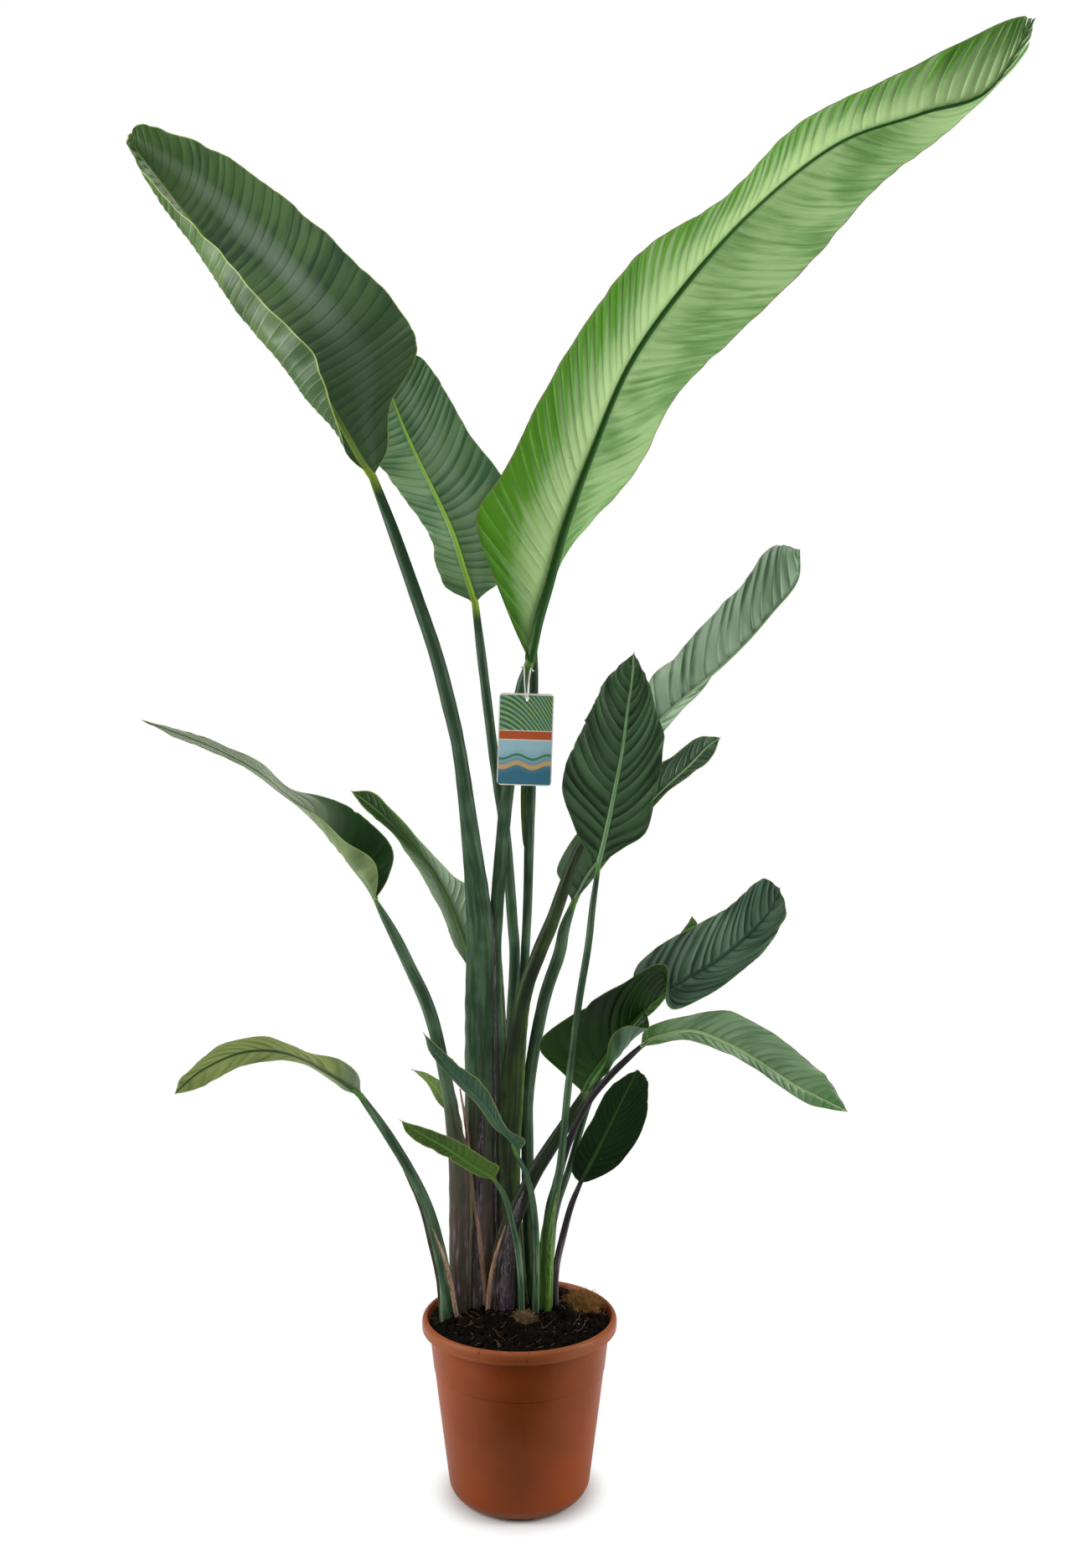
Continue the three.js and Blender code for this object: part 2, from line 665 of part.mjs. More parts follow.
function huskRings(husk, grow = 0) {
  const corner = Math.SQRT2;
  const girth = husk.halfWidth.map((half) => [half * corner, HUSK_THICKNESS * corner / 2]);
  return sweepRings(husk.path, girth, 10, 4, grow);
}

// The part of a sweep that lies in the soil, a little larger than the sweep.
function rootPocket(rings) {
  const above = rings.findIndex((ring) => ring[0].z > SOIL_CROWN + POCKET_RISE);
  return toSolid(loft(rings.slice(0, above + 1)));
}

// ---- pot and soil ----

function lathe(outline, sides = POT_SIDES) {
  const geometry = new THREE.LatheGeometry(outline.map(([r, z]) => new THREE.Vector2(r, z)), sides);
  geometry.rotateX(Math.PI / 2);
  return geometry;
}

const wallRadius = (z) => THREE.MathUtils.mapLinear(
  z, WALL_FOOT, WALL_TOP, POT_WALL_BOTTOM_RADIUS, POT_WALL_TOP_RADIUS,
);

// The outline goes out along the underside, up the wall, round the rim and back down inside.

function potGeometry() {
  const rim = POT_RIM_RADIUS;
  const lowerInside = wallRadius(POT_FLOOR + CORNER_RISE) - POT_WALL;
  const outline = [
    [0, 0], [POT_FOOT_RADIUS, 0], [POT_FOOT_RADIUS + 7, 2.5], [POT_WALL_BOTTOM_RADIUS - 2, 7],
    [wallRadius(WALL_FOOT + 2), WALL_FOOT + 2],
    [wallRadius(POT_STEP_HEIGHT - 1.5) - 0.6, POT_STEP_HEIGHT - 1.5],
    [wallRadius(POT_STEP_HEIGHT) + 0.5, POT_STEP_HEIGHT],
    [POT_WALL_TOP_RADIUS, WALL_TOP],
    [POT_WALL_TOP_RADIUS + 1, RIM_UNDERSIDE + 1],
    [rim - 5.5, POT_HEIGHT - 5.5], [rim - 2.2, POT_HEIGHT - 5.5],
    [rim - 2.2, RIM_UNDERSIDE + 0.4], [rim - 0.4, RIM_UNDERSIDE + 1],
    [rim, RIM_UNDERSIDE + 7], [rim - 1, POT_HEIGHT - 3], [rim - 3.5, POT_HEIGHT - 0.3],
    [rim - 6, POT_HEIGHT], [rim - 7.4, POT_HEIGHT - 2],
    [POT_WALL_TOP_RADIUS - 0.6, RIM_UNDERSIDE + 4],
    [POT_WALL_TOP_RADIUS - POT_WALL, WALL_TOP - 1],
    [lowerInside, POT_FLOOR + CORNER_RISE], [lowerInside - CORNER_RUN, POT_FLOOR], [0, POT_FLOOR],
  ];
  let solid = toSolid(lathe(outline));
  for (let k = 0; k < DRAIN_HOLES; k += 1) {
    const angle = (2 * Math.PI * k) / DRAIN_HOLES;
    const hole = new THREE.CylinderGeometry(DRAIN_HOLE_RADIUS, DRAIN_HOLE_RADIUS, 4 * POT_FLOOR, 12);
    hole.rotateX(Math.PI / 2);
    hole.translate(DRAIN_RING_RADIUS * Math.cos(angle), DRAIN_RING_RADIUS * Math.sin(angle), 0);
    solid = solid.subtract(toSolid(hole));
  }
  return fromSolid(solid);
}

const SOIL_RADIUS = POT_WALL_TOP_RADIUS + 0.5;
const soilHeight = (r) => SOIL_CROWN - (SOIL_CROWN - SOIL_EDGE) * (r / SOIL_RADIUS) ** 2;

// The soil fills the pot from the floor up to a low mound, raised by lift.
function soilSolid(lift) {
  const inset = POT_WALL + CLEARANCE;
  const lowerRadius = wallRadius(POT_FLOOR + CORNER_RISE) - inset;
  const outline = [
    [0, POT_FLOOR + CLEARANCE], [lowerRadius - CORNER_RUN, POT_FLOOR + CLEARANCE],
    [lowerRadius, POT_FLOOR + CORNER_RISE + 0.5], [POT_WALL_TOP_RADIUS - inset, WALL_TOP],
    [POT_WALL_TOP_RADIUS - 1.1, RIM_UNDERSIDE + 4.6],
  ];
  for (const part of [1, 0.75, 0.5, 0.25]) {
    outline.push([SOIL_RADIUS * part, soilHeight(SOIL_RADIUS * part) + lift]);
  }
  outline.push([0, SOIL_CROWN + lift]);
  return toSolid(lathe(outline));
}

function soilGeometry() {
  let solid = soilSolid(0);
  for (const leaf of LEAVES) {
    solid = solid.subtract(rootPocket(stalkRings(leaf, CLEARANCE)));
  }
  for (const husk of HUSKS) {
    solid = solid.subtract(rootPocket(huskRings(husk, CLEARANCE)));
  }
  return fromSolid(solid);
}

// A lumpy dome that lies on the soil.
function mossGeometry({ centre: [x, y], radii }) {
  const dome = new THREE.SphereGeometry(1, 16, 10);
  const positions = dome.attributes.position;
  for (let k = 0; k < positions.count; k += 1) {
    const point = new THREE.Vector3().fromBufferAttribute(positions, k);
    const lumps = 1 + 0.09 * Math.sin(5 * point.x + 2) * Math.sin(6 * point.z) * Math.cos(4 * point.y);
    positions.setXYZ(k, ...point.multiplyScalar(lumps).toArray());
  }
  dome.scale(...radii);
  dome.translate(x, y, soilHeight(Math.hypot(x, y)));
  return fromSolid(toSolid(dome).subtract(soilSolid(CLEARANCE)));
}

// ---- tag and string ----

function tagMesh(material) {
  const outline = new THREE.Shape();
  const [w, h, r] = [TAG_WIDTH / 2, TAG_HEIGHT / 2, TAG_CORNER];
  outline.absarc(w - r, h - r, r, 0, Math.PI / 2);
  outline.absarc(r - w, h - r, r, Math.PI / 2, Math.PI);
  outline.absarc(r - w, r - h, r, Math.PI, 1.5 * Math.PI);
  outline.absarc(w - r, r - h, r, 1.5 * Math.PI, 2 * Math.PI);
  const hole = new THREE.Path();
  hole.absarc(0, h - TAG_HOLE_INSET, TAG_HOLE_RADIUS, 0, 2 * Math.PI, true);
  outline.holes.push(hole);
  const card = new THREE.ExtrudeGeometry(outline, {
    depth: TAG_THICKNESS, bevelEnabled: false, curveSegments: 5,
  });
  card.rotateX(Math.PI / 2);
  const mesh = new THREE.Mesh(card, material);
  mesh.rotation.y = TAG_TILT;
  mesh.position.set(...TAG_CENTRE);
  return mesh;
}

// Out of the tag's hole, up, once round the stalk under the largest blade, and back down.
function stringGeometry() {
  const leaf = LEAVES.find(({ name }) => name === 'leaf_upper_right');
  const stalk = curve(leaf.stalk);
  const centre = stalk.getPoint(STRING_KNOT);
  const along = stalk.getTangent(STRING_KNOT);
  const depth = new THREE.Vector3(0, 1, 0).addScaledVector(along, -along.y).normalize();
  const wide = depth.clone().cross(along);
  const radius = STRING_STALK_RADIUS + STRING_RADIUS + CLEARANCE;
  const holeDrop = TAG_HEIGHT / 2 - TAG_HOLE_INSET;
  const holeX = TAG_CENTRE[0] + holeDrop * Math.sin(TAG_TILT);
  const holeZ = TAG_CENTRE[2] + holeDrop * Math.cos(TAG_TILT);
  const strand = (side) => [
    [holeX + side * 1.2, TAG_CENTRE[1] - 0.2, holeZ],
    [holeX + side * 1.3, TAG_CENTRE[1] - 2.2, holeZ + 1.6],
    [holeX + side * 1.6, TAG_CENTRE[1] - 2.0, holeZ + 8],
    [holeX + side * 2.6, TAG_CENTRE[1] - 1.2, holeZ + 20],
  ];
  const loop = [];
  for (let k = 0; k <= STRING_LOOP_STEPS; k += 1) {
    const angle = THREE.MathUtils.degToRad(STRING_START - (STRING_TURN * k) / STRING_LOOP_STEPS);
    const point = centre.clone().addScaledVector(wide, radius * Math.cos(angle));
    loop.push(point.addScaledVector(depth, radius * Math.sin(angle)).toArray());
  }
  const route = curve([...strand(-1), ...loop, ...strand(1).reverse()]);
  const section = new THREE.Shape().absarc(0, 0, STRING_RADIUS, 0, 2 * Math.PI);
  return new THREE.ExtrudeGeometry(section, {
    steps: STRING_STEPS, curveSegments: 4, extrudePath: route, bevelEnabled: false,
  });
}

// ---- assembly ----

const plant = new THREE.Group();

function paint(color, roughness) {
  return new THREE.MeshStandardMaterial({ color, roughness, metalness: 0 });
}

function add(name, mesh) {
  mesh.name = name;
  plant.add(mesh);
}

add('pot', new THREE.Mesh(potGeometry(), paint(0xa35a33, 0.45)));
add('soil', new THREE.Mesh(soilGeometry(), paint(0x241c14, 0.95)));
for (const leaf of LEAVES) {
  add(`${leaf.name}_blade`, new THREE.Mesh(bladeGeometry(leaf), paint(leaf.colour, 0.4)));
  add(`${leaf.name}_stalk`, new THREE.Mesh(loft(stalkRings(leaf)), paint(0x35503c, 0.5)));
}
for (const husk of HUSKS) {
  add(husk.name, new THREE.Mesh(loft(huskRings(husk)), paint(0x8f6a48, 0.8)));
}
for (const clump of MOSS_CLUMPS) {
  add(clump.name, new THREE.Mesh(mossGeometry(clump), paint(clump.colour, 0.95)));
}
add('tag', tagMesh(paint(0xd8d4c4, 0.35)));
add('tag_string', new THREE.Mesh(stringGeometry(), paint(0xf0efe8, 0.7)));

export default plant;
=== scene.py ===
"""The looks of a potted bird of paradise: seventeen paddle leaves on long stalks in a
plastic nursery pot, with a hang tag tied to one stalk.

Blender's units are metres. The leaves' routes below are in millimetres, as in the part.
"""

import math

import bmesh
import bpy
import numpy as np
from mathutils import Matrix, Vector


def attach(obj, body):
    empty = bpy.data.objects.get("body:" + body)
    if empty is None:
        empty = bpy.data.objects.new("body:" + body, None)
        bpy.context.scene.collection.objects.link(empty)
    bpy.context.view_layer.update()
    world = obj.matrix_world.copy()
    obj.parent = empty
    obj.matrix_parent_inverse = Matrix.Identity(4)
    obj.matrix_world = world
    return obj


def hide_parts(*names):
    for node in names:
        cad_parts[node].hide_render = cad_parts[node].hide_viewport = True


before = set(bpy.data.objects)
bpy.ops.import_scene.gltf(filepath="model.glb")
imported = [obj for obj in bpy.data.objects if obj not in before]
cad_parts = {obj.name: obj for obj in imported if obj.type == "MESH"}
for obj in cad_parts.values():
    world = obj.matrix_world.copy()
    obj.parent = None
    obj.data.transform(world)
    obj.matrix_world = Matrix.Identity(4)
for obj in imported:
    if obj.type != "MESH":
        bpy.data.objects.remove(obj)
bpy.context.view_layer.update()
MM = 0.001

# ---- the leaves' shapes ----
# rib runs from the top of the stalk to the tip. left and right are the margins, seen on the
# upper face with the tip up. stalk runs from the root to the blade: each of its points has a
# place, a half width and a half depth. curl_left and curl_right bow each half blade: below
# zero the margin rises towards the upper face.

LEAVES = {
    "leaf_upper_left": dict(
        rib=[(-189, 0, 1300), (-203, 0, 1318), (-225, 4, 1357), (-255, 10, 1408), (-295, 20, 1466),
            (-347, 34, 1536), (-406, 50, 1613), (-465, 66, 1689), (-509, 78, 1748), (-530, 84, 1780)],
        left=[(-224, -8, 1330), (-232, -23, 1364), (-240, -49, 1395), (-257, -60, 1442), (-320, -48, 1507),
            (-381, -23, 1582), (-461, 17, 1667), (-524, 68, 1755)],
        right=[(-171, 10, 1339), (-167, 24, 1402), (-136, 38, 1468), (-151, 52, 1524), (-220, 68, 1604),
            (-312, 80, 1690), (-406, 86, 1758), (-505, 86, 1796)],
        stalk=[(-48, 2, 200, 18, 9), (-48, 2, 296, 18, 9.5), (-51, 1, 458, 19, 10), (-51, 0, 620, 19, 9),
            (-52, 0, 728, 17, 9), (-63, 0, 836, 12, 9), (-77, 0, 944, 9, 9), (-91, 0, 1008, 9.5, 9),
            (-108, 0, 1073, 9, 9), (-130, 0, 1138, 8.5, 8.5), (-162, 0, 1229, 7.5, 7.5),
            (-189, 0, 1300, 5.5, 5.5)],
        curl_left=[-0.2, -0.5, -0.75, -0.7, -0.65, -0.5, -0.5, -0.3], curl_right=[-0.05]),
    "leaf_upper_middle": dict(
        rib=[(-59, 36, 1143), (-63, 37, 1154), (-75, 40, 1193), (-89, 44, 1236), (-107, 50, 1277),
            (-133, 58, 1331), (-158, 66, 1387), (-177, 76, 1439), (-196, 86, 1498)],
        left=[(-97, 40, 1164), (-111, 47, 1193), (-121, 56, 1235), (-147, 63, 1274), (-178, 70, 1317),
            (-204, 76, 1356), (-214, 82, 1420)],
        right=[(-45, 38, 1155), (-23, 42, 1176), (-3, 48, 1233), (-20, 57, 1307), (-67, 66, 1373),
            (-103, 72, 1437), (-136, 80, 1481)],
        stalk=[(-36, 26, 200, 10, 6), (-30, 30, 308, 9, 6), (-20, 34, 450, 8, 6), (-10, 36, 615, 7, 6),
            (-7, 36, 681, 7, 6), (-10, 36, 725, 7, 6), (-14, 36, 780, 7, 6), (-20, 36, 846, 7, 6),
            (-28, 36, 901, 7, 6), (-36, 36, 956, 6.5, 6), (-51, 36, 1077, 6, 6), (-59, 36, 1143, 4.5, 4.5)],
        curl_left=[-0.08], curl_right=[-0.08]),
    "leaf_upper_right": dict(
        rib=[(13, 0, 1062), (16, -1, 1075), (24, -4, 1114), (38, -8, 1161), (59, -16, 1235),
            (90, -28, 1320), (137, -42, 1429), (203, -58, 1521), (289, -74, 1613), (390, -86, 1688),
            (490, -94, 1720), (570, -100, 1746), (625, -104, 1831)],
        left=[(21, 4, 1090), (34, 14, 1148), (55, 30, 1200), (96, 40, 1252), (154, 36, 1317),
            (205, 22, 1411), (281, 4, 1484), (368, -16, 1565), (453, -39, 1657), (536, -64, 1716),
            (612, -92, 1788)],
        right=[(-8, -8, 1107), (-32, -25, 1166), (-54, -45, 1240), (-18, -57, 1297), (32, -81, 1389),
            (88, -105, 1473), (152, -124, 1546), (245, -136, 1601), (334, -134, 1690), (453, -119, 1756),
            (588, -109, 1826)],
        stalk=[(-19, 12, 200, 11, 7), (-22, 13, 314, 11, 7), (-26, 14, 401, 11, 7), (-30, 14, 564, 11, 7),
            (-33, 14, 683, 9.5, 7), (-31, 12, 727, 9, 7.5), (-22, 6, 836, 8.5, 8), (-15, 0, 901, 8.5, 8.5),
            (-7, 0, 960, 8.5, 8.5), (2, 0, 1024, 8, 8), (13, 0, 1062, 6, 6)],
        curl_left=[-0.08], curl_right=[-0.1]),
    "leaf_young_spear": dict(
        rib=[(18, 60, 1090), (19, 62, 1107), (22, 66, 1152), (31, 72, 1215), (47, 80, 1284), (70, 90, 1360),
            (87, 97, 1413), (96, 100, 1436)],
        left=[(27, 58, 1110), (32, 58, 1153), (46, 62, 1214), (65, 70, 1280), (85, 82, 1353), (94, 94, 1408)],
        right=[(10, 58, 1110), (10, 58, 1153), (14, 62, 1216), (28, 70, 1289), (54, 82, 1366),
            (79, 94, 1417)],
        stalk=[(-10, 28, 200, 8, 6), (-10, 38, 284, 8, 6), (-8, 45, 392, 7, 6), (-1, 46, 558, 6, 6),
            (9, 46, 724, 6, 6), (12, 48, 834, 6.5, 6), (14, 52, 901, 7, 6), (18, 56, 1034, 6, 6),
            (18, 60, 1090, 4.5, 4.5)],
        curl_left=[0.3], curl_right=[0.3]),
    "leaf_right_upright": dict(
        rib=[(99, -56, 803), (102, -58, 817), (110, -64, 854), (119, -74, 901), (127, -86, 947),
            (132, -98, 992), (137, -109, 1030), (139, -118, 1063)],
        left=[(128, -56, 824), (159, -60, 845), (170, -66, 893), (179, -80, 957), (168, -96, 998),
            (155, -108, 1034)],
        right=[(84, -56, 821), (68, -62, 854), (52, -74, 906), (68, -88, 954), (87, -100, 994),
            (106, -110, 1032)],
        stalk=[(33, -14, 200, 9, 5), (34, -17, 271, 9, 5.5), (39, -35, 362, 7.5, 5.5),
            (51, -52, 425, 5, 4.5), (61, -60, 526, 4.5, 4.5), (74, -60, 630, 4.5, 4.5),
            (86, -59, 703, 4.5, 4.5), (92, -58, 755, 4, 4), (99, -56, 803, 3, 3)],
        curl_left=[-0.08], curl_right=[-0.08]),
    "leaf_right_rolled": dict(
        rib=[(152, -8, 944), (172, -2, 976), (201, 6, 1006), (234, 14, 1034), (268, 22, 1063),
            (301, 32, 1095), (331, 42, 1129), (368, 56, 1174), (375, 74, 1220)],
        left=[(183, 22, 969), (211, 34, 1000), (240, 44, 1029), (268, 56, 1071), (299, 66, 1105),
            (329, 76, 1140), (360, 82, 1183)],
        right=[(156, 14, 996), (171, 28, 1044), (200, 38, 1069), (229, 46, 1103), (263, 54, 1138),
            (296, 62, 1173), (337, 74, 1224)],
        stalk=[(5, -4, 200, 11, 7), (-7, -5, 299, 12, 7), (-15, -6, 407, 13, 7.5), (-11, -6, 514, 14, 7.5),
            (2, -6, 621, 10, 7.5), (24, -4, 686, 9.5, 8), (42, -4, 729, 9, 8), (74, -4, 815, 7, 7),
            (116, -6, 888, 6, 6), (152, -8, 944, 4, 4)],
        curl_left=[-0.1], curl_right=[-0.35]),
    "leaf_right_slender": dict(
        rib=[(70, 20, 750), (77, 22, 762), (95, 28, 793), (140, 41, 845), (186, 54, 893), (226, 68, 930),
            (251, 78, 955), (270, 84, 968)],
        left=[(85, 18, 769), (104, 22, 790), (150, 36, 846), (196, 52, 894), (236, 68, 922), (260, 77, 943)],
        right=[(56, 26, 774), (50, 34, 800), (92, 48, 862), (150, 58, 912), (200, 66, 941), (238, 75, 968)],
        stalk=[(14, 14, 200, 8, 6), (12, 15, 314, 8, 6), (10, 16, 433, 8, 6), (11, 16, 509, 8, 6),
            (30, 17, 618, 8, 6.5), (51, 18, 683, 8, 6.5), (58, 20, 717, 7, 6), (70, 20, 750, 4, 4)],
        curl_left=[-0.1], curl_right=[-0.1]),
    "leaf_right_twisted": dict(
        rib=[(83, -30, 513), (91, -32, 530), (103, -34, 548), (125, -38, 578), (150, -44, 611),
            (175, -52, 637), (203, -62, 660), (245, -78, 689), (282, -92, 724), (304, -100, 751),
            (316, -106, 780)],
        left=[(54, -34, 540), (24, -36, 578), (74, -36, 619), (124, -56, 655), (179, -92, 685),
            (186, -74, 628), (236, -82, 648), (292, -94, 694), (324, -103, 745)],
        right=[(107, -50, 555), (112, -78, 592), (132, -84, 609), (162, -66, 606), (145, -20, 664),
            (184, -35, 706), (222, -58, 731), (260, -80, 757), (294, -100, 790)],
        stalk=[(-26, -14, 200, 11, 6), (-21, -17, 282, 12, 6.5), (-9, -22, 347, 11, 7),
            (15, -28, 404, 9.5, 7), (38, -30, 443, 9, 7.5), (62, -30, 479, 8, 7.5), (83, -30, 513, 5.5, 5.5)],
        curl_left=[-0.1, -0.1, -0.1, -0.1, -0.1, -0.1, -0.08, -0.08, -0.08],
        curl_right=[-0.4, -0.5, -0.5, -0.4, -0.1, -0.08, -0.08, -0.08, -0.08]),
    "leaf_right_drooping": dict(
        rib=[(156, 4, 566), (176, 6, 577), (222, 12, 585), (270, 20, 567), (317, 30, 539), (362, 38, 509),
            (403, 46, 487), (435, 52, 470)],
        left=[(164, 8, 591), (218, 22, 604), (276, 34, 607), (332, 42, 578), (381, 46, 540), (411, 50, 511)],
        right=[(182, -4, 571), (213, 2, 575), (258, 8, 560), (296, 18, 541), (344, 30, 506), (383, 40, 482)],
        stalk=[(36, 8, 200, 6, 4.5), (39, 10, 294, 6, 4.5), (46, 12, 369, 5.5, 4.5), (56, 12, 418, 5, 4.5),
            (74, 10, 466, 4.5, 4.5), (92, 10, 498, 4.5, 4.5), (117, 8, 528, 4.5, 4.5), (141, 6, 552, 4, 4),
            (156, 4, 566, 3, 3)],
        curl_left=[0.06], curl_right=[0.06]),
    "leaf_right_hidden": dict(
        rib=[(127, 40, 566), (134, 42, 581), (157, 48, 615), (185, 54, 661), (208, 58, 693), (222, 61, 715),
            (230, 63, 729)],
        left=[(147, 40, 583), (181, 46, 608), (213, 54, 652), (231, 58, 691), (237, 61, 717)],
        right=[(118, 44, 589), (129, 52, 628), (168, 58, 657), (203, 62, 692), (216, 62, 711)],
        stalk=[(34, 24, 200, 5, 4), (37, 30, 287, 5, 4), (48, 33, 351, 5, 4.5), (65, 36, 401, 4.5, 4.5),
            (89, 38, 482, 4.5, 4.5), (112, 39, 537, 4, 4), (127, 40, 566, 3, 3)],
        curl_left=[-0.1], curl_right=[-0.1]),
    "leaf_low_right": dict(
        rib=[(78, 0, 391), (84, -2, 403), (99, -6, 433), (115, -14, 468), (130, -20, 501), (142, -26, 527),
            (149, -30, 544)],
        left=[(66, -2, 407), (73, -4, 438), (91, -10, 474), (111, -18, 514), (130, -25, 534)],
        right=[(96, -4, 396), (129, -8, 418), (158, -16, 466), (165, -22, 512), (160, -27, 535)],
        stalk=[(47, -2, 200, 5, 4.5), (45, -3, 255, 5, 4.5), (48, -5, 290, 4.5, 4.5),
            (56, -5, 326, 4.5, 4.5), (66, -2, 362, 4, 4), (78, 0, 391, 3, 3)],
        curl_left=[-0.08], curl_right=[-0.08]),
    "leaf_left_twisted": dict(
        rib=[(-182, -25, 759), (-194, -26, 779), (-214, -28, 805), (-234, -32, 834), (-261, -38, 863),
            (-292, -46, 892), (-331, -58, 924), (-381, -72, 952), (-422, -84, 969), (-460, -94, 983)],
        left=[(-176, -49, 791), (-183, -66, 814), (-215, -68, 834), (-250, -66, 867), (-287, -70, 888),
            (-333, -62, 920), (-379, -70, 944), (-422, -83, 962)],
        right=[(-166, -21, 785), (-160, -22, 820), (-185, -24, 854), (-228, -22, 882), (-292, -22, 901),
            (-322, -50, 932), (-379, -74, 960), (-421, -86, 974)],
        stalk=[(-76, -8, 200, 14, 8), (-76, -11, 301, 14, 8), (-76, -16, 409, 14, 8),
            (-83, -18, 463, 10, 8), (-93, -22, 528, 8, 7.5), (-113, -25, 614, 8.5, 8),
            (-141, -26, 678, 7.5, 7.5), (-167, -25, 731, 6.5, 6.5), (-182, -25, 759, 3.5, 3.5)],
        curl_left=[-0.4, -0.5, -0.5, -0.3, -0.1, -0.1, -0.1, -0.1], curl_right=[-0.1]),
    "leaf_left_inner": dict(
        rib=[(-60, 30, 654), (-71, 32, 692), (-92, 36, 746), (-116, 42, 790), (-145, 50, 825),
            (-177, 60, 858), (-205, 68, 881), (-228, 74, 896)],
        left=[(-56, 29, 720), (-60, 30, 760), (-88, 34, 787), (-127, 42, 826), (-164, 54, 865),
            (-195, 66, 894)],
        right=[(-85, 28, 691), (-101, 28, 733), (-131, 32, 787), (-157, 40, 824), (-187, 52, 855),
            (-211, 64, 875)],
        stalk=[(-63, 26, 200, 7, 5), (-62, 28, 287, 7, 5), (-60, 30, 396, 6.5, 5.5),
            (-58, 32, 527, 5.5, 5.5), (-60, 30, 654, 4, 4)],
        curl_left=[0.15], curl_right=[0.15]),
    "leaf_left_arching": dict(
        rib=[(-198, -52, 516), (-213, -54, 528), (-234, -58, 542), (-269, -64, 564), (-304, -72, 576),
            (-343, -82, 575), (-382, -94, 559), (-403, -102, 543), (-415, -108, 531)],
        left=[(-219, -48, 521), (-235, -46, 533), (-269, -54, 556), (-298, -64, 562), (-337, -76, 558),
            (-371, -90, 543), (-393, -100, 533)],
        right=[(-198, -60, 542), (-217, -68, 562), (-257, -76, 575), (-307, -82, 595), (-359, -90, 589),
            (-395, -100, 563), (-410, -105, 547)],
        stalk=[(-92, -20, 200, 8, 6), (-94, -26, 274, 8, 6.5), (-104, -34, 330, 8, 6.5),
            (-116, -39, 374, 7, 6.5), (-136, -44, 418, 6.5, 6), (-167, -49, 471, 6, 5.5),
            (-198, -52, 516, 4, 4)],
        curl_left=[-0.12], curl_right=[-0.12]),
    "leaf_small_crossing": dict(
        rib=[(-3, -54, 443), (-9, -55, 456), (-22, -57, 473), (-39, -58, 500), (-60, -60, 523),
            (-83, -62, 547), (-103, -64, 572), (-119, -66, 598)],
        left=[(-14, -53, 463), (-31, -52, 475), (-52, -54, 503), (-71, -56, 525), (-93, -60, 549),
            (-111, -63, 573)],
        right=[(8, -56, 461), (-13, -58, 477), (-32, -60, 515), (-49, -62, 539), (-74, -64, 556),
            (-97, -65, 578)],
        stalk=[(20, -24, 200, 4.5, 3.5), (21, -28, 275, 4.5, 4), (21, -36, 331, 4.5, 4),
            (18, -44, 376, 4, 4), (10, -52, 415, 3.5, 3.5), (-3, -54, 443, 2.6, 2.6)],
        curl_left=[-0.1], curl_right=[-0.1]),
    "leaf_small_front": dict(
        rib=[(-31, -60, 414), (-39, -61, 420), (-60, -63, 433), (-87, -67, 453), (-115, -71, 470),
            (-133, -74, 482), (-147, -76, 492)],
        left=[(-48, -60, 417), (-68, -62, 427), (-93, -66, 444), (-120, -70, 459), (-137, -73, 473)],
        right=[(-24, -62, 431), (-41, -64, 441), (-72, -68, 463), (-105, -72, 477), (-127, -75, 485)],
        stalk=[(4, -24, 200, 4, 3.5), (2, -30, 276, 4, 3.5), (-2, -38, 321, 4, 3.5),
            (-9, -46, 357, 3.5, 3.5), (-17, -54, 389, 3.5, 3.5), (-31, -60, 414, 2.4, 2.4)],
        curl_left=[-0.1], curl_right=[-0.1]),
    "leaf_small_left": dict(
        rib=[(-85, 0, 475), (-93, 4, 488), (-107, 10, 508), (-123, 18, 523), (-142, 26, 533)],
        left=[(-104, 4, 492), (-112, 8, 504), (-126, 17, 521)],
        right=[(-84, 4, 505), (-98, 10, 518), (-117, 18, 528)],
        stalk=[(-84, 8, 200, 4, 3.5), (-83, 8, 294, 4, 3.5), (-84, 6, 381, 3.5, 3.5),
            (-85, 0, 475, 2.4, 2.4)],
        curl_left=[-0.1], curl_right=[-0.1]),
}

# ---- the leaves' looks ----
# top and under are the deep and the light green of the two faces, and rib the midrib's colour
# on each. lines are the side veins' colours above and below, and edge the margin's. glow is the
# colour of painted light shining through the right half's outer part. bloom is a
# pale band on the right half, partly a coat of wax and partly painted highlight: its colour, its
# share, its middle and its half width across the half blade. foot and tip are colours near the
# blade's two ends, up to foot_to and from tip_from along the rib. strength is how much the side
# veins show, and relief how much painted light and shade each pleat gets, or a pair for
# the left and right halves.
# calm below 1 draws the fine streaks out along the leaf. vein is the distance between the main
# side veins, pleat how high the blade stands between them, ruffle how far the margin waves, lean
# how far a side vein runs forward, and swell the midrib's width. notches are (side, place along
# the rib from 0 to 1, depth, half width). Sizes are in millimetres.

PLAIN_LOOK = dict(
    lines="1f3a20 a9c096", edge="7f8a48", glow=None, bloom=None, foot=None, foot_to=0.3, tip=None,
    tip_from=0.66, strength=0.5, relief=0.16, calm=1.0, gloss=0.34, shine=0.3, vein=9, pleat=0.8, ruffle=2.0,
    lean=0.45, swell=1.0, notches=())


def look(top, under, rib, seed, **others):
    return dict(PLAIN_LOOK, top=top, under=under, rib=rib, seed=seed, **others)


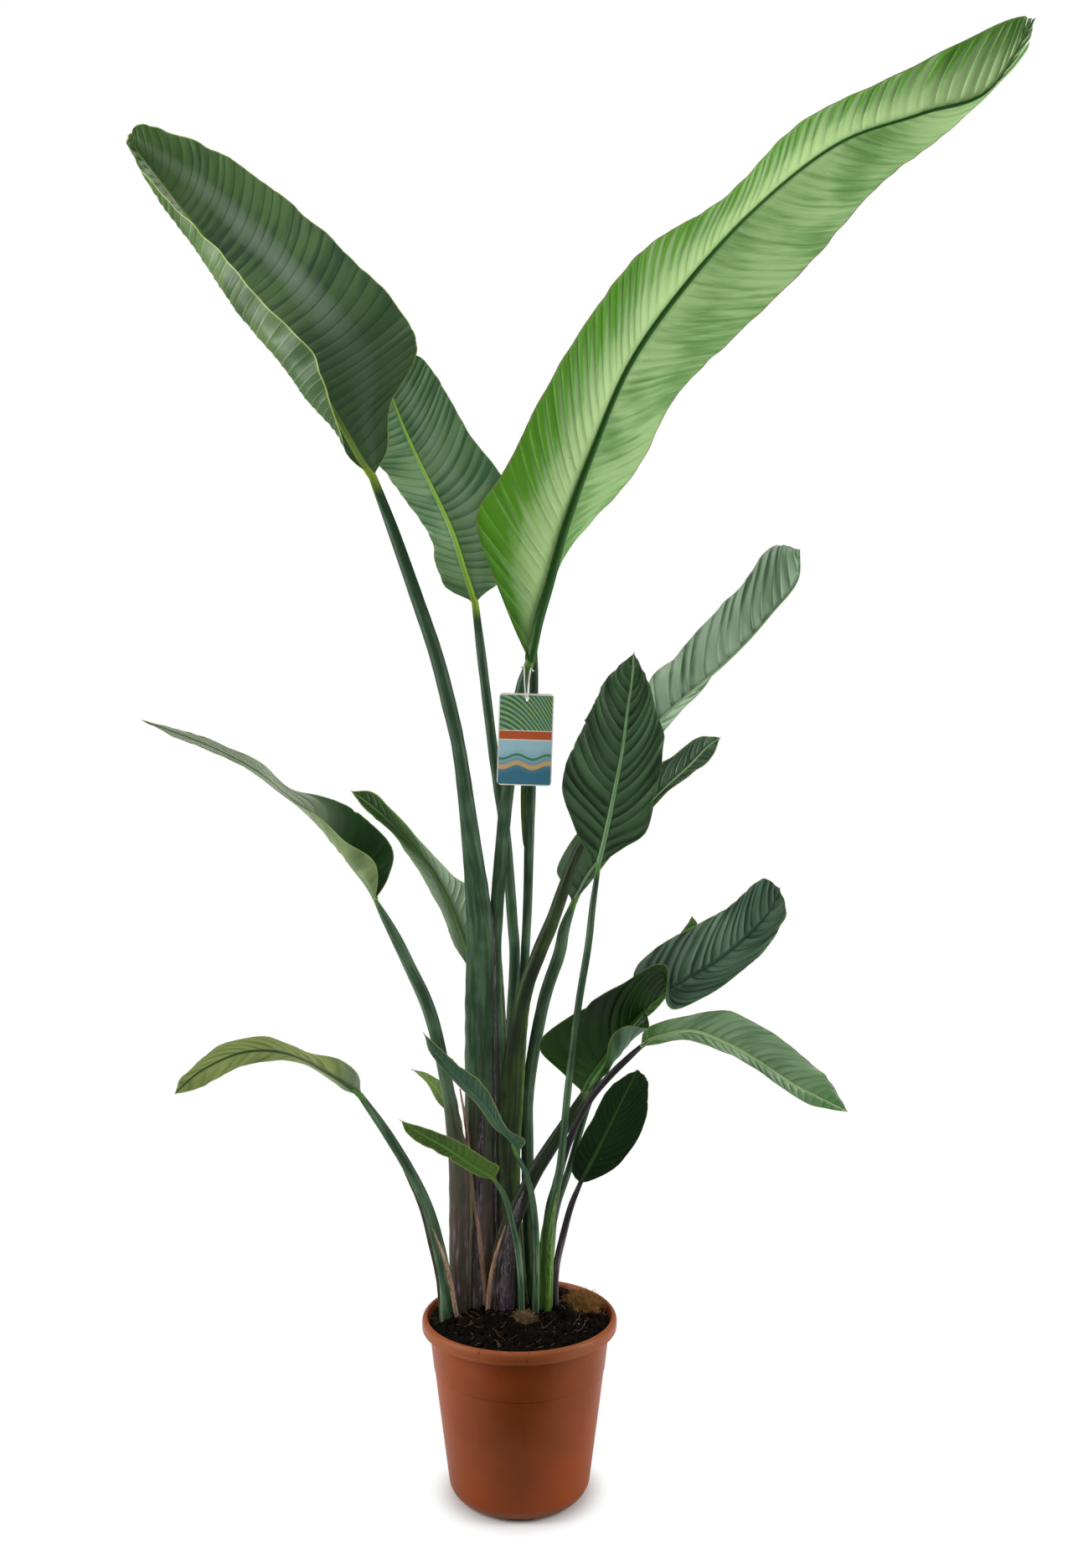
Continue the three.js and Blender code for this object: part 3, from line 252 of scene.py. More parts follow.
LOOKS = {
    "leaf_upper_left": look(
        "345539 61834e", "2b461b 577340", "86a245 8fae5e", 3, lines="1a2f1c a9c088", edge="a3b45a",
        vein=15, pleat=0.9, ruffle=2.2, lean=0.3, gloss=0.36, strength=0.6, relief=0.12,
        foot="3d5c33", foot_to=0.62, tip="3a5c1c", bloom=("93a592", 0.75, 0.45, 0.24),
        notches=[("right", 0.975, 9, 2.2), ("left", 0.5, 3, 2)]),
    "leaf_upper_middle": look(
        "3f6843 6d8e62", "3f6238 6f9262", "8cb53e 90ae55", 5, lines="26442a a9c096",
        vein=12, ruffle=3, lean=0.35, relief=0.14, foot="2c5228", bloom=("8fa291", 0.3, 0.35, 0.3)),
    # Its dark rib colours paint the midrib's shade, and its tip colour the shade in the tip's folds.
    "leaf_upper_right": look(
        "4f8830 88b45e", "5d8a44 94b878", "1f5210 1f4c12", 7, lines="b9d49c b4cf9a", edge="7d6a52",
        vein=17, pleat=1.7, ruffle=0.4, lean=0.5, gloss=0.42, swell=1.55, strength=0.34, shine=0.2,
        foot="245802", tip="2c5c1c", tip_from=0.9, relief=(0.05, 0.28), glow="4c8c04",
        bloom=("b8d694", 0.7, 0.2, 0.6),
        notches=[("left", 0.93, 22, 3), ("right", 0.955, 16, 2.5), ("right", 0.985, 9, 2)]),
    "leaf_young_spear": look("335f22 4d7c34", "4b7a36 6f9a52", "7fa050 6f9a4a", 9, vein=8),
    "leaf_right_upright": look(
        "21411d 456a3e", "1a3519 34552f", "5c8050 5f8455", 11, lines="16300f 5d7f58", edge="3c5a2c",
        vein=16, pleat=2.2, ruffle=3, lean=1.3, strength=0.4, relief=0.22, swell=1.3, foot="1c4016",
        notches=[("right", 0.3, 3, 2), ("right", 0.42, 4, 2), ("right", 0.52, 3, 1.5),
                 ("left", 0.16, 4, 3)]),
    "leaf_right_rolled": look(
        "466447 6e8b6e", "456443 96b191", "7f9c72 8ba67c", 13, lines="22381f 25402a", edge="8fa684",
        vein=21, pleat=2.1, ruffle=0.8, lean=1.7, strength=0.8, relief=0.3, swell=0.7, tip="6a8966"),
    "leaf_right_slender": look(
        "254029 49644b", "254027 577453", "7c9c6c 7f9d6e", 15, lines="1b331e 7f9a76",
        vein=14, pleat=1.1, ruffle=1.5, lean=1.1, strength=0.25, relief=0.12),
    "leaf_right_twisted": look(
        "0a2404 183c0a", "1e3726 4e6b53", "4f7b3a 1d3a24", 17, lines="0a1f06 5f7d62", edge="5d6f2c",
        vein=15, pleat=1.1, ruffle=2.2, lean=0.8, shine=0.2, strength=0.16, relief=0.08, foot="2c4f16",
        notches=[("left", 0.11, 3, 2)]),
    "leaf_right_drooping": look(
        "44633f 75946c", "5f8456 94b07e", "9cb87c 4f7048", 19, lines="9cb684 a9c096", edge="6f7a40",
        vein=13, ruffle=1.5, lean=1.1, strength=0.2, relief=0.08, foot="3f6a1c", tip="47743c"),
    "leaf_right_hidden": look("1f4512 35641c", "2f5a1c 4b7a2c", "4f7540 4f7540", 21),
    "leaf_low_right": look(
        "071d05 0e2e09", "16300e 2a4c20", "2c5218 45702f", 23, lines="061805 5d7f58", edge="2c4416",
        vein=10, pleat=0.7, ruffle=1.5, lean=0.9, gloss=0.44, shine=0.12, strength=0.3, relief=0.12,
        notches=[("right", 0.93, 7, 1.5), ("right", 0.7, 2.5, 1.5), ("right", 0.62, 3, 1.5),
                 ("right", 0.5, 2, 1.5), ("right", 0.4, 2.5, 1.5)]),
    "leaf_left_twisted": look(
        "0b2f07 1b4a14", "4a6438 7c905c", "3f6a30 6c8c5c", 25, lines="3c5c34 a9bc8c", edge="8a9c58",
        vein=17, pleat=1.0, ruffle=1.2, lean=0.9, strength=0.1, relief=0.05, tip="a9b59c", tip_from=0.36,
        calm=0.35, notches=[("right", 0.2, 3, 2)]),
    "leaf_left_inner": look(
        "14340a 2a4e16", "34562a 6a8a58", "44682f 55763c", 27, lines="1b3314 9ab490", edge="8fa850",
        vein=15, pleat=1.1, ruffle=2, lean=1.2, shine=0.2, strength=0.12, relief=0.07, foot="a4bd9c",
        foot_to=0.62, tip="1c3c0a", tip_from=0.5, calm=0.4),
    "leaf_left_arching": look(
        "56682a 8c9c58", "4f6c34 7f9a58", "2a461e 2f4c24", 29, lines="46582a 8fa86a", edge="8a9450",
        vein=18, pleat=1.1, ruffle=1.2, lean=1.2, strength=0.12, relief=0.07, foot="6f8470", calm=0.3),
    "leaf_small_crossing": look(
        "1d3f2a 35583f", "345a3a 64845f", "3a6044 46704a", 31, ruffle=2.4, strength=0.2, relief=0.08),
    "leaf_small_front": look(
        "294b0a 436810", "3a641c 5a863a", "4f7a28 4f7a28", 33,
        vein=8, pleat=0.6, ruffle=2.2, strength=0.2, relief=0.08),
    "leaf_small_left": look(
        "5c7838 869c60", "647c4a 8a9c6a", "7a9a48 7a9a48", 35, vein=11, pleat=0.5, strength=0.1, relief=0.04),
}

BLADE_THICKNESS = 0.6 * MM
MARGIN_THICKNESS = 0.3 * MM
RIB_TIP_RADIUS = 0.7 * MM
VEIN_STEPS = (0.0, 0.14, 0.36, 0.64, 0.86)  # rows between one side vein and the next
RIB_STEPS = (0.3, 0.6, 0.85, 1.0, 1.2, 1.6)  # columns near the rib, in rib radii
BLADE_COLUMNS = 22  # from there to the margin
STALK_SIDES = 32
STALK_RING = 4 * MM
POT_HEIGHT = 225 * MM  # up to the rim's top
FINE = np.linspace(0, 1, 1201)  # where a spline is read to measure it


# ---- numbers ----

def length_of(vectors):
    return np.linalg.norm(vectors, axis=-1)


def unit(vectors):
    return vectors / np.maximum(length_of(vectors), 1e-12)[..., None]


def smooth_step(x, low, high):
    t = np.clip((x - low) / (high - low), 0, 1)
    return t * t * (3 - 2 * t)


def spline(points, u, order=0):
    """A uniform Catmull-Rom curve through points at u from 0 to 1, or its slope with order=1."""
    p = np.asarray(points, float)
    p = np.concatenate([[2 * p[0] - p[1]], p, [2 * p[-1] - p[-2]]])
    place = np.asarray(u, float) * (len(p) - 3)
    i = np.clip(np.floor(place).astype(int), 0, len(p) - 4)
    w = (place - i)[..., None]
    a, b, c, d = (p[i + k] for k in range(4))
    leave, arrive = (c - a) / 2, (d - b) / 2
    square, cube = -3 * b + 3 * c - 2 * leave - arrive, 2 * b - 2 * c + leave + arrive
    if order:
        return leave + 2 * square * w + 3 * cube * w * w
    return b + leave * w + square * w * w + cube * w ** 3


def profile(values):
    """A list of numbers as points for spline. One number is the same all along."""
    return np.array(values if len(values) > 1 else values * 2, float)[:, None]


def ripples(rng, x, wavelengths, count=7):
    """A smooth random wave along x, about one high."""
    low, high = wavelengths
    total = np.zeros_like(x)
    for _ in range(count):
        total = total + np.sin(2 * np.pi * (x / rng.uniform(low, high) + rng.random()))
    return total / math.sqrt(count)


def arc_lengths(points):
    """The distance along a route to each of its points."""
    return np.concatenate([[0], np.cumsum(length_of(np.diff(points, axis=0)))])


def evenly(points, step):
    """Where to read a spline so that its points lie about step apart, and those distances."""
    arc = arc_lengths(spline(points, FINE))
    distances = np.linspace(0, arc[-1], max(4, int(round(arc[-1] / step)) + 1))
    return np.interp(distances, arc, FINE), distances


def circle(sides):
    return 2 * np.pi * np.arange(sides) / sides


def ball(levels, sides):
    """Rings of points of a round body of radius 1."""
    tilt = np.pi * (np.arange(levels) + 0.5) / levels
    angle = circle(sides)
    return np.stack([np.sin(tilt)[:, None] * np.cos(angle), np.sin(tilt)[:, None] * np.sin(angle),
                     np.cos(tilt)[:, None] + 0 * angle], -1)


def frames_of(centres):
    """The direction, the sideways and the depth direction at each point of a route."""
    along = unit(np.gradient(centres, axis=0))
    depth = unit(np.array([0, 1.0, 0]) - along * along[:, 1:2])
    return along, np.cross(depth, along), depth


def rings_round(centres, sides, size):
    """Rings round a route that turns every way: each ring's frame follows from the last."""
    along = unit(np.gradient(centres, axis=0))
    wide = np.zeros_like(along)
    wide[0] = unit(np.cross(along[0], [0.2, 0.3, 0.9]))
    for k in range(1, len(along)):
        wide[k] = unit(wide[k - 1] - along[k] * (wide[k - 1] @ along[k]))
    depth = np.cross(along, wide)
    angle = circle(sides)
    return centres[:, None] + size[..., None] * (
        np.cos(angle)[:, None] * wide[:, None] + np.sin(angle)[:, None] * depth[:, None])


# ---- meshes ----

def new_object(name, points, quads, smooth_under=50):
    """A mesh object from an array of points and an array of quads."""
    mesh = bpy.data.meshes.new(name)
    mesh.vertices.add(len(points))
    mesh.vertices.foreach_set("co", np.asarray(points, np.float32).ravel())
    mesh.loops.add(quads.size)
    mesh.loops.foreach_set("vertex_index", quads.astype(np.int32).ravel())
    mesh.polygons.add(len(quads))
    mesh.polygons.foreach_set("loop_start", np.arange(0, quads.size, 4, dtype=np.int32))
    mesh.update(calc_edges=True)
    mesh.shade_smooth()
    mesh.set_sharp_from_angle(angle=math.radians(smooth_under))
    made = bpy.data.objects.new(name, mesh)
    bpy.context.scene.collection.objects.link(made)
    return made


def set_attributes(made, shape, copies=1, **attributes):
    """Gives each point three numbers. shape is the grid of points, which the mesh has copies of."""
    for name, parts in attributes.items():
        values = np.stack([np.broadcast_to(part, shape) for part in parts], -1).reshape(-1, 3)
        attribute = made.data.attributes.new(name, "FLOAT_VECTOR", "POINT")
        attribute.data.foreach_set("vector", np.tile(values, (copies, 1)).astype(np.float32).ravel())


def outward(points, quads):
    """The quads, turned over if they enclose a negative volume."""
    a, b, c, d = (points[quads[:, k]] for k in range(4))
    volume = (np.cross(a, b) * c).sum() + (np.cross(a, c) * d).sum()
    return quads if volume > 0 else quads[:, ::-1]


def loft(rings):
    """Quads of a closed body through an array of rings, each end zipped shut."""
    count, sides = rings.shape[:2]
    index = np.arange(count * sides).reshape(count, sides)
    turned = np.roll(index, -1, axis=1)
    walls = np.stack([index[:-1], turned[:-1], turned[1:], index[1:]], -1).reshape(-1, 4)
    j = np.arange(sides // 2 - 1)
    across = sides - 1 - j
    last = (count - 1) * sides
    foot = np.stack([across, across - 1, j + 1, j], -1)
    top = np.stack([last + j, last + j + 1, last + across - 1, last + across], -1)
    points = rings.reshape(-1, 3)
    return points, outward(points, np.concatenate([walls, foot, top]))


def sheet(top, bottom):
    """Quads of a thin body between two grids of points: its faces, then its four rims."""
    rows, columns = top.shape[:2]
    index = np.arange(rows * columns).reshape(rows, columns)
    below = rows * columns
    cell = np.stack([index[:-1, :-1], index[:-1, 1:], index[1:, 1:], index[1:, :-1]], -1).reshape(-1, 4)
    quads = [cell, cell[:, ::-1] + below]
    rims = ((index[0, :-1], index[0, 1:]), (index[-1, 1:], index[-1, :-1]),
            (index[:-1, -1], index[1:, -1]), (index[1:, 0], index[:-1, 0]))
    for start, end in rims:
        quads.append(np.stack([end, start, start + below, end + below], -1))
    points = np.concatenate([top.reshape(-1, 3), bottom.reshape(-1, 3)])
    return points, np.concatenate(quads)


def merged(bodies):
    """One set of points and quads from many."""
    points, quads, offset = [], [], 0
    for p, q in bodies:
        points.append(p)
        quads.append(q + offset)
        offset += len(p)
    return np.concatenate(points), np.concatenate(quads)


# ---- materials ----

def rgb(code):
    """A colour in linear light from its usual six digits."""
    parts = [int(code[k:k + 2], 16) / 255 for k in (0, 2, 4)]
    return [c / 12.92 if c <= 0.04045 else ((c + 0.055) / 1.055) ** 2.4 for c in parts] + [1]


class Signal:
    """A number or colour in a node tree. Sums with it add nodes to the tree."""

    def __init__(self, net, socket):
        self.net, self.socket = net, socket

    def __add__(self, other):
        return self.net.math("ADD", self, other)

    def __sub__(self, other):
        return self.net.math("SUBTRACT", self, other)

    def __mul__(self, other):
        return self.net.math("MULTIPLY", self, other)

    def __truediv__(self, other):
        return self.net.math("DIVIDE", self, other)

    def __abs__(self):
        return self.net.math("ABSOLUTE", self)

    def ramp(self, low, high, start=0.0, end=1.0):
        """start where this is low, end where it is high, and smooth between."""
        limits = {0: self, 1: low, 2: high, 3: start, 4: end}
        return self.net.signal("MapRange", limits, interpolation_type="SMOOTHSTEP")


class Net:
    """Adds nodes to a node tree. An input is a value, or a signal or socket to link."""

    def __init__(self, tree):
        self.tree = tree

    def add(self, kind, inputs=(), **settings):
        node = self.tree.nodes.new("ShaderNode" + kind)
        for key, value in settings.items():
            setattr(node, key, value)
        for key, value in dict(inputs).items():
            value = getattr(value, "socket", value)
            if isinstance(value, bpy.types.NodeSocket):
                self.tree.links.new(value, node.inputs[key])
            else:
                node.inputs[key].default_value = value
        return node

    def signal(self, kind, inputs=(), output=0, **settings):
        return Signal(self, self.add(kind, inputs, **settings).outputs[output])

    def math(self, operation, *values):
        return self.signal("Math", enumerate(values), operation=operation)

    def mix(self, factor, a, b):
        return self.signal("Mix", {0: factor, 6: a, 7: b}, 2, data_type="RGBA")

    def noise(self, vector, scale, detail=3.0, roughness=0.55):
        inputs = {"Vector": vector, "Scale": scale, "Detail": detail, "Roughness": roughness}
        return self.signal("TexNoise", inputs)

    def stretched(self, vector, scale):
        return self.signal("Mapping", {"Vector": vector, "Scale": scale})

    def parts(self, vector):
        return [Signal(self, part) for part in self.add("SeparateXYZ", {0: vector}).outputs]

    def join(self, x, y, z=0.0):
        return self.signal("CombineXYZ", {0: x, 1: y, 2: z})

    def attribute(self, name):
        return self.signal("Attribute", output="Vector", attribute_name=name)

    def place(self):
        return self.signal("TexCoord", output="Object")

    def send(self, surface, kind="OutputMaterial"):
        """Links a surface to the tree's output."""
        self.add(kind, {0: surface})


def finish_material(net, colour, roughness, height, depth, **shader):
    """The surface shader, with its colour and bump from net. depth is the bump's height in metres."""
    bump = net.signal("Bump", {"Height": height, "Strength": 1.0, "Distance": depth})
    inputs = {"Base Color": colour, "Roughness": roughness, "Normal": bump}
    inputs.update({key.replace("_", " "): value for key, value in shader.items()})
    net.send(net.signal("BsdfPrincipled", inputs))


def new_material(name):
    material = bpy.data.materials.new(name)
    material.use_nodes = True
    material.node_tree.nodes.clear()
    return material, Net(material.node_tree)


LEAF_COLOURS = ("Deep", "Light", "Rib", "Vein", "Edge", "Glow", "Foot", "Tip", "Highlight")
LEAF_SHARES = ("Vein Share", "Left Pleat Shading", "Right Pleat Shading", "Glow Share", "Foot Share", "Foot To",
               "Tip Share", "Tip From", "Bloom Share", "Bloom Place", "Bloom Width")


def leaf_group():
    """A leaf face's colour and height. The attribute vein holds the side vein's number, and the way
    along the leaf and across it, below zero on the left. place holds the share of the midrib, the
    distance from it in its radii, and the distance to the margin."""
    group = bpy.data.node_groups.new("leaf_face", "ShaderNodeTree")
    for kind, names in (("NodeSocketColor", LEAF_COLOURS), ("NodeSocketFloat", LEAF_SHARES)):
        for name in names:
            group.interface.new_socket(name, in_out="INPUT", socket_type=kind)
    group.interface.new_socket("Color", in_out="OUTPUT", socket_type="NodeSocketColor")
    group.interface.new_socket("Height", in_out="OUTPUT", socket_type="NodeSocketFloat")
    net = Net(group)
    given = {socket.name: Signal(net, socket) for socket in group.nodes.new("NodeGroupInput").outputs}
    number, along, across = net.parts(net.attribute("vein"))
    rib_place, rib_widths, rim = net.parts(net.attribute("place"))
    right_half = across.ramp(-0.004, 0.004)
    reach = abs(across)
    part = reach / (reach + rim + 0.0001)  # from 0 at the rib to 1 at the margin

    # Each pleat is painted dark just past one side vein and light towards the next, as its light
    # and shade, and gets a tone of its own.
    phase = net.math("FRACT", number)
    crest = abs(phase * 2.0 - 1.0)
    each = net.signal("TexWhiteNoise", {1: net.math("FLOOR", number)}, noise_dimensions="1D")
    painted_pleat_shade = phase.ramp(0.0, 0.7) * phase.ramp(1.0, 0.8, 0.45, 1.0) + each * 0.5 - 0.75
    relief = right_half * (given["Right Pleat Shading"] - given["Left Pleat Shading"]) + given["Left Pleat Shading"]
    fine = net.noise(net.join(along, across * 0.06), 1100.0, 2.0)
    streak = net.noise(net.join(along, across * 0.12), 130.0, 2.0)
    band = net.noise(net.join(along, across * 0.1, 3.0), 38.0, 1.0)
    patch = net.noise(net.place(), 11.0, 1.0)
    tone = patch * 0.5 + streak * 0.33 + fine * 0.02 + band * 0.15 + painted_pleat_shade * relief
    colour = net.mix(tone.ramp(0.36, 0.6), given["Deep"], given["Light"])

    # Painted glow: light shining through the right half, strongest towards its margin.
    fresh_and_glow = band * 0.7 + part + streak * 0.3 - painted_pleat_shade * 0.5 + rib_place.ramp(0.15, 0.6, 0.35, -0.22)
    painted_glow = right_half * given["Glow Share"]
    colour = net.mix(painted_glow * fresh_and_glow.ramp(0.85, 1.3, 0.1, 1.0), colour, given["Glow"])
    # A pale blotchy band on the right half, partly a coat of wax and partly painted highlight.
    highlight_blotch = net.noise(net.join(along, across * 0.6, 7.0), 55.0)
    off = abs(part - given["Bloom Place"])
    wax_and_highlight = net.signal("MapRange", {0: off, 1: given["Bloom Width"], 2: 0.0, 3: 0.0, 4: 1.0})
    wax_and_highlight = wax_and_highlight * (highlight_blotch + wax_and_highlight).ramp(0.65, 1.1) * across.ramp(0.001, 0.006)
    colour = net.mix(wax_and_highlight * given["Bloom Share"], colour, given["Highlight"])
    near_foot = (given["Foot To"] - (rib_place + band * 0.1)).ramp(0.0, 0.2)
    colour = net.mix(near_foot * given["Foot Share"], colour, given["Foot"])
    near_tip = (rib_place + band * 0.2 - given["Tip From"]).ramp(0.0, 0.34)
    colour = net.mix(near_tip * given["Tip Share"], colour, given["Tip"])

    line = crest.ramp(0.84, 0.97) * streak.ramp(0.3, 0.6, 0.45, 1.0) * part.ramp(0.02, 0.4, 0.5, 1.0)
    colour = net.mix(line * given["Vein Share"], colour, given["Vein"])
    widths = abs(rib_widths)
    # Painted shade beside the midrib, out to three of its radii.
    colour = net.mix(widths.ramp(3.0, 1.2) * 0.45, colour, given["Deep"])
    colour = net.mix(widths.ramp(1.3, 0.9), colour, given["Rib"])
    speck = net.noise(net.place(), 230.0, 1.0).ramp(0.76, 0.8) * 0.4
    colour = net.mix(speck, colour, rgb("6b5a3a"))
    border = rim + net.noise(net.place(), 300.0, 1.0) * 0.0006
    colour = net.mix(border.ramp(0.0019, 0.001, 0.0, 0.85), colour, given["Edge"])

    sent = group.nodes.new("NodeGroupOutput").inputs
    group.links.new(colour.socket, sent["Color"])
    group.links.new((fine * 0.06 + streak * 0.8).socket, sent["Height"])
    return group


LEAF_FACE = leaf_group()


def leaf_material(name, style, face_index):
    """The material of a leaf's upper face, 0, or its underside, 1."""
    material, net = new_material(name)
    deep, light = style["under" if face_index else "top"].split()
    rib, line = (style[key].split()[face_index] for key in ("rib", "lines"))
    # The pale band on the right half is partly a coat of wax and partly painted highlight.
    bloom, share, place, width = style["bloom"] or (light, 0.0, 0.0, 0.5)
    colours = (deep, light, rib, line, style["edge"], style["glow"] or light, style["foot"] or deep,
               style["tip"] or light, bloom)
    left_relief, right_relief = np.broadcast_to(style["relief"], 2)
    shares = (style["strength"] * (0.6 if face_index else 1.0), left_relief, right_relief,
              0.92 if style["glow"] else 0.0, 0.8 if style["foot"] else 0.0, style["foot_to"],
              0.8 if style["tip"] else 0.0, style["tip_from"], share, place, width)
    face = net.add("Group", node_tree=LEAF_FACE)
    for key, code in zip(LEAF_COLOURS, colours):
        face.inputs[key].default_value = rgb(code)
    for key, value in zip(LEAF_SHARES, shares):
        face.inputs[key].default_value = value
    gloss = style["gloss"] + 0.06 * face_index
    soft = net.noise(net.place(), 40.0).ramp(0.3, 0.7, gloss - 0.05, gloss + 0.09)
    finish_material(net, face.outputs["Color"], soft, face.outputs["Height"], 0.00016,
                    Specular_IOR_Level=style["shine"])
    return material


def stalk_material(name, foot, deep, light, tip, foot_to=0.24, tip_from=0.97, bloom="9d949a"):
    """foot is the colour up to foot_to over the pot's rim, deep and light above it, tip that under
    the blade, and bloom that of pale wax streaks just over the soil."""
    material, net = new_material(name)
    _, around, along = net.parts(net.attribute("vein"))
    share, _, rise = net.parts(net.attribute("place"))
    grain = net.noise(net.join(around, along * 0.03), 900.0)
    streak = net.noise(net.join(around, along * 0.06), 240.0)
    patch = net.noise(net.place(), 22.0, 2.0)
    tone = streak * 0.6 + patch * 0.4 - rise.ramp(0.45, 0.85, 0.0, 0.12)
    colour = net.mix(tone.ramp(0.38, 0.64), rgb(deep), rgb(light))
    low = (rise + patch * 0.12).ramp(foot_to, 0.4 * foot_to)
    colour = net.mix(low * streak.ramp(0.36, 0.56, 0.5, 1.0), colour, rgb(foot))
    wax_and_highlight = streak * 0.6 + grain * 0.4
    colour = net.mix(wax_and_highlight.ramp(0.5, 0.62) * rise.ramp(0.18, 0.02, 0.0, 0.75), colour, rgb(bloom))
    colour = net.mix(share.ramp(tip_from, 1.0), colour, rgb(tip))
    scar = net.noise(net.place(), 150.0, 2.0).ramp(0.7, 0.78) * 0.6
    colour = net.mix(scar, colour, rgb("6d5038"))
    rough = grain.ramp(0.3, 0.7, 0.38, 0.52)
    finish_material(net, colour, rough, grain + streak * 0.6, 0.0003, Specular_IOR_Level=0.25)
    return material


STALK_MATERIALS = {
    "plain": stalk_material("stalk_green", "5a4742", "27442b", "4f6e4e", "4f7a34", 0.42, bloom="b4aeb4"),
    "fresh_and_glow": stalk_material("stalk_fresh", "4c5a40", "27442b", "4f6e4e", "4f7a34", 0.1, bloom="8d9c86"),
    "hooked": stalk_material("stalk_hooked", "5a4742", "27442b", "4f6e4e", "8aa836", 0.42, 0.975, "b4aeb4"),
    "purple": stalk_material("stalk_purple", "3f3238", "1f1d1f", "413a3e", "2c3322"),
    "dusky": stalk_material("stalk_dusky", "342926", "101b0a", "243416", "3c5424"),
    "olive": stalk_material("stalk_olive", "3c332c", "172510", "354a1c", "64804a"),
    "shoot": stalk_material("stalk_shoot", "4c7424", "1f3824", "44633f", "4f7a34", bloom="86a850"),
}


def mottled(name, codes, scale, rough, depth, stretch=(1, 1, 1), fleck=None, **shader):
    """Three colours mixed by noise at two scales, the ground of soil, bark, moss and husks."""
    material, net = new_material(name)
    place = net.stretched(net.place(), stretch)
    coarse = net.noise(place, scale, 4.0, 0.6)
    small = net.noise(place, scale * 6, 3.0, 0.6)
    colour = net.mix(coarse.ramp(0.35, 0.65), rgb(codes[0]), rgb(codes[1]))
    colour = net.mix(small.ramp(0.45, 0.75, 0.0, 0.8), colour, rgb(codes[2]))
    if fleck:
        colour = net.mix(net.noise(place, scale * 14, 1.0).ramp(0.7, 0.76), colour, rgb(fleck))
    finish = small.ramp(0.3, 0.7, rough - 0.08, rough + 0.08)
    finish_material(net, colour, finish, coarse + small * 0.5, depth, **shader)
    return material


SOIL_MATERIAL = mottled("soil", ("060402", "0e0905", "1a120b"), 90.0, 0.95, 0.0015, fleck="33261a",
                        Specular_IOR_Level=0.1)
CRUMB_MATERIAL = mottled("soil_crumbs", ("060402", "0e0905", "1f150c"), 120.0, 0.95, 0.0008,
                         Specular_IOR_Level=0.1)
BARK_MATERIAL = mottled("bark", ("22160d", "3c2817", "5f4229"), 120.0, 0.82, 0.0006, (1, 1, 3))
PERLITE_MATERIAL = mottled("perlite", ("c9c6bd", "dedbd2", "efece4"), 400.0, 0.8, 0.0004)
FIBRE_MATERIAL = mottled("fibres", ("5a4128", "86683f", "b08e5c"), 200.0, 0.85, 0.0001)
MOSS_MATERIAL = mottled("moss_golden", ("4a3012", "a0702c", "e0b260"), 130.0, 0.9, 0.0005)
ROOT_MATERIAL = mottled("moss_roots", ("4c3a26", "7c6242", "ac8c62"), 150.0, 0.85, 0.0004)
HUSK_MATERIAL = mottled("husk", ("805f4c", "bb937a", "e0c3aa"), 60.0, 0.75, 0.0004, (4, 4, 0.3), "3f2e26")
PAPER_MATERIAL = mottled("sheath_edge", ("4c4a34", "6f6c48", "8f8a62"), 50.0, 0.6, 0.0002, (5, 5, 0.3),
                         "4a3a2c")
SHELL_MATERIAL = mottled("sheath_purple", ("2c2026", "5c4e56", "beb4bc"), 90.0, 0.6, 0.0006, (4, 4, 0.06),
                         "1a1216", Specular_IOR_Level=0.2)
SHEATH_MATERIAL = mottled("sheath_green", ("3c5f22", "54772c", "7d9a44"), 40.0, 0.4, 0.0002, (6, 6, 0.3))
SHOOT_MATERIAL = mottled("young_shoot", ("2f5a14", "5a8c2c", "9cbc62"), 60.0, 0.4, 0.0003, (5, 5, 0.15))
STRING_MATERIAL = mottled("cotton", ("d4d2c8", "e6e4dc", "f4f3ee"), 900.0, 0.85, 0.0002)


def pot_material():
    """Terracotta coloured plastic with faint scuffs, a rim painted paler as its highlight,
    and dirt at its foot and rim.
    """
    material, net = new_material("pot_plastic")
    place = net.place()
    _, _, z = net.parts(place)
    cloud = net.noise(place, 9.0)
    grain = net.noise(place, 1400.0, 2.0)
    scuff = net.noise(net.stretched(place, (3, 3, 40)), 6.0, 6.0, 0.7)
    colour = net.mix(cloud.ramp(0.3, 0.7), rgb("80380a"), rgb("944210"))
    colour = net.mix(grain.ramp(0.4, 0.8, 0.0, 0.25), colour, rgb("9a4c14"))
    colour = net.mix(scuff.ramp(0.66, 0.78, 0.0, 0.35), colour, rgb("b0744c"))
    # The rim band is painted paler, as its highlight.
    rim_highlight, on_foot, on_top = z.ramp(0.207, 0.2105, 0.0, 0.6), z.ramp(0.02, 0.0), z.ramp(0.2, 0.224)
    colour = net.mix(rim_highlight, colour, rgb("9a5834"))
    dust = on_foot * cloud.ramp(0.3, 0.6, 0.2, 0.6)
    colour = net.mix(dust, colour, rgb("6d5a4a"))
    splash = on_top * net.noise(place, 160.0).ramp(0.62, 0.72)
    colour = net.mix(splash * 0.6, colour, rgb("3b2a1d"))
    rough = cloud.ramp(0.3, 0.7, 0.36, 0.44) + scuff.ramp(0.6, 0.8, 0.0, 0.14)
    finish_material(net, colour, rough, grain + scuff * 0.6, 0.00008, Specular_IOR_Level=0.2)
    return material


# The card's printed panels: half their width, and each one's lower and upper end over the middle.
PANEL_HALF_WIDTH = 33.7 * MM
STRIPES, ORANGE_BAND, HILLS = (0.0115, 0.0565), (0.0, 0.0105), (-0.0575, -0.0012)


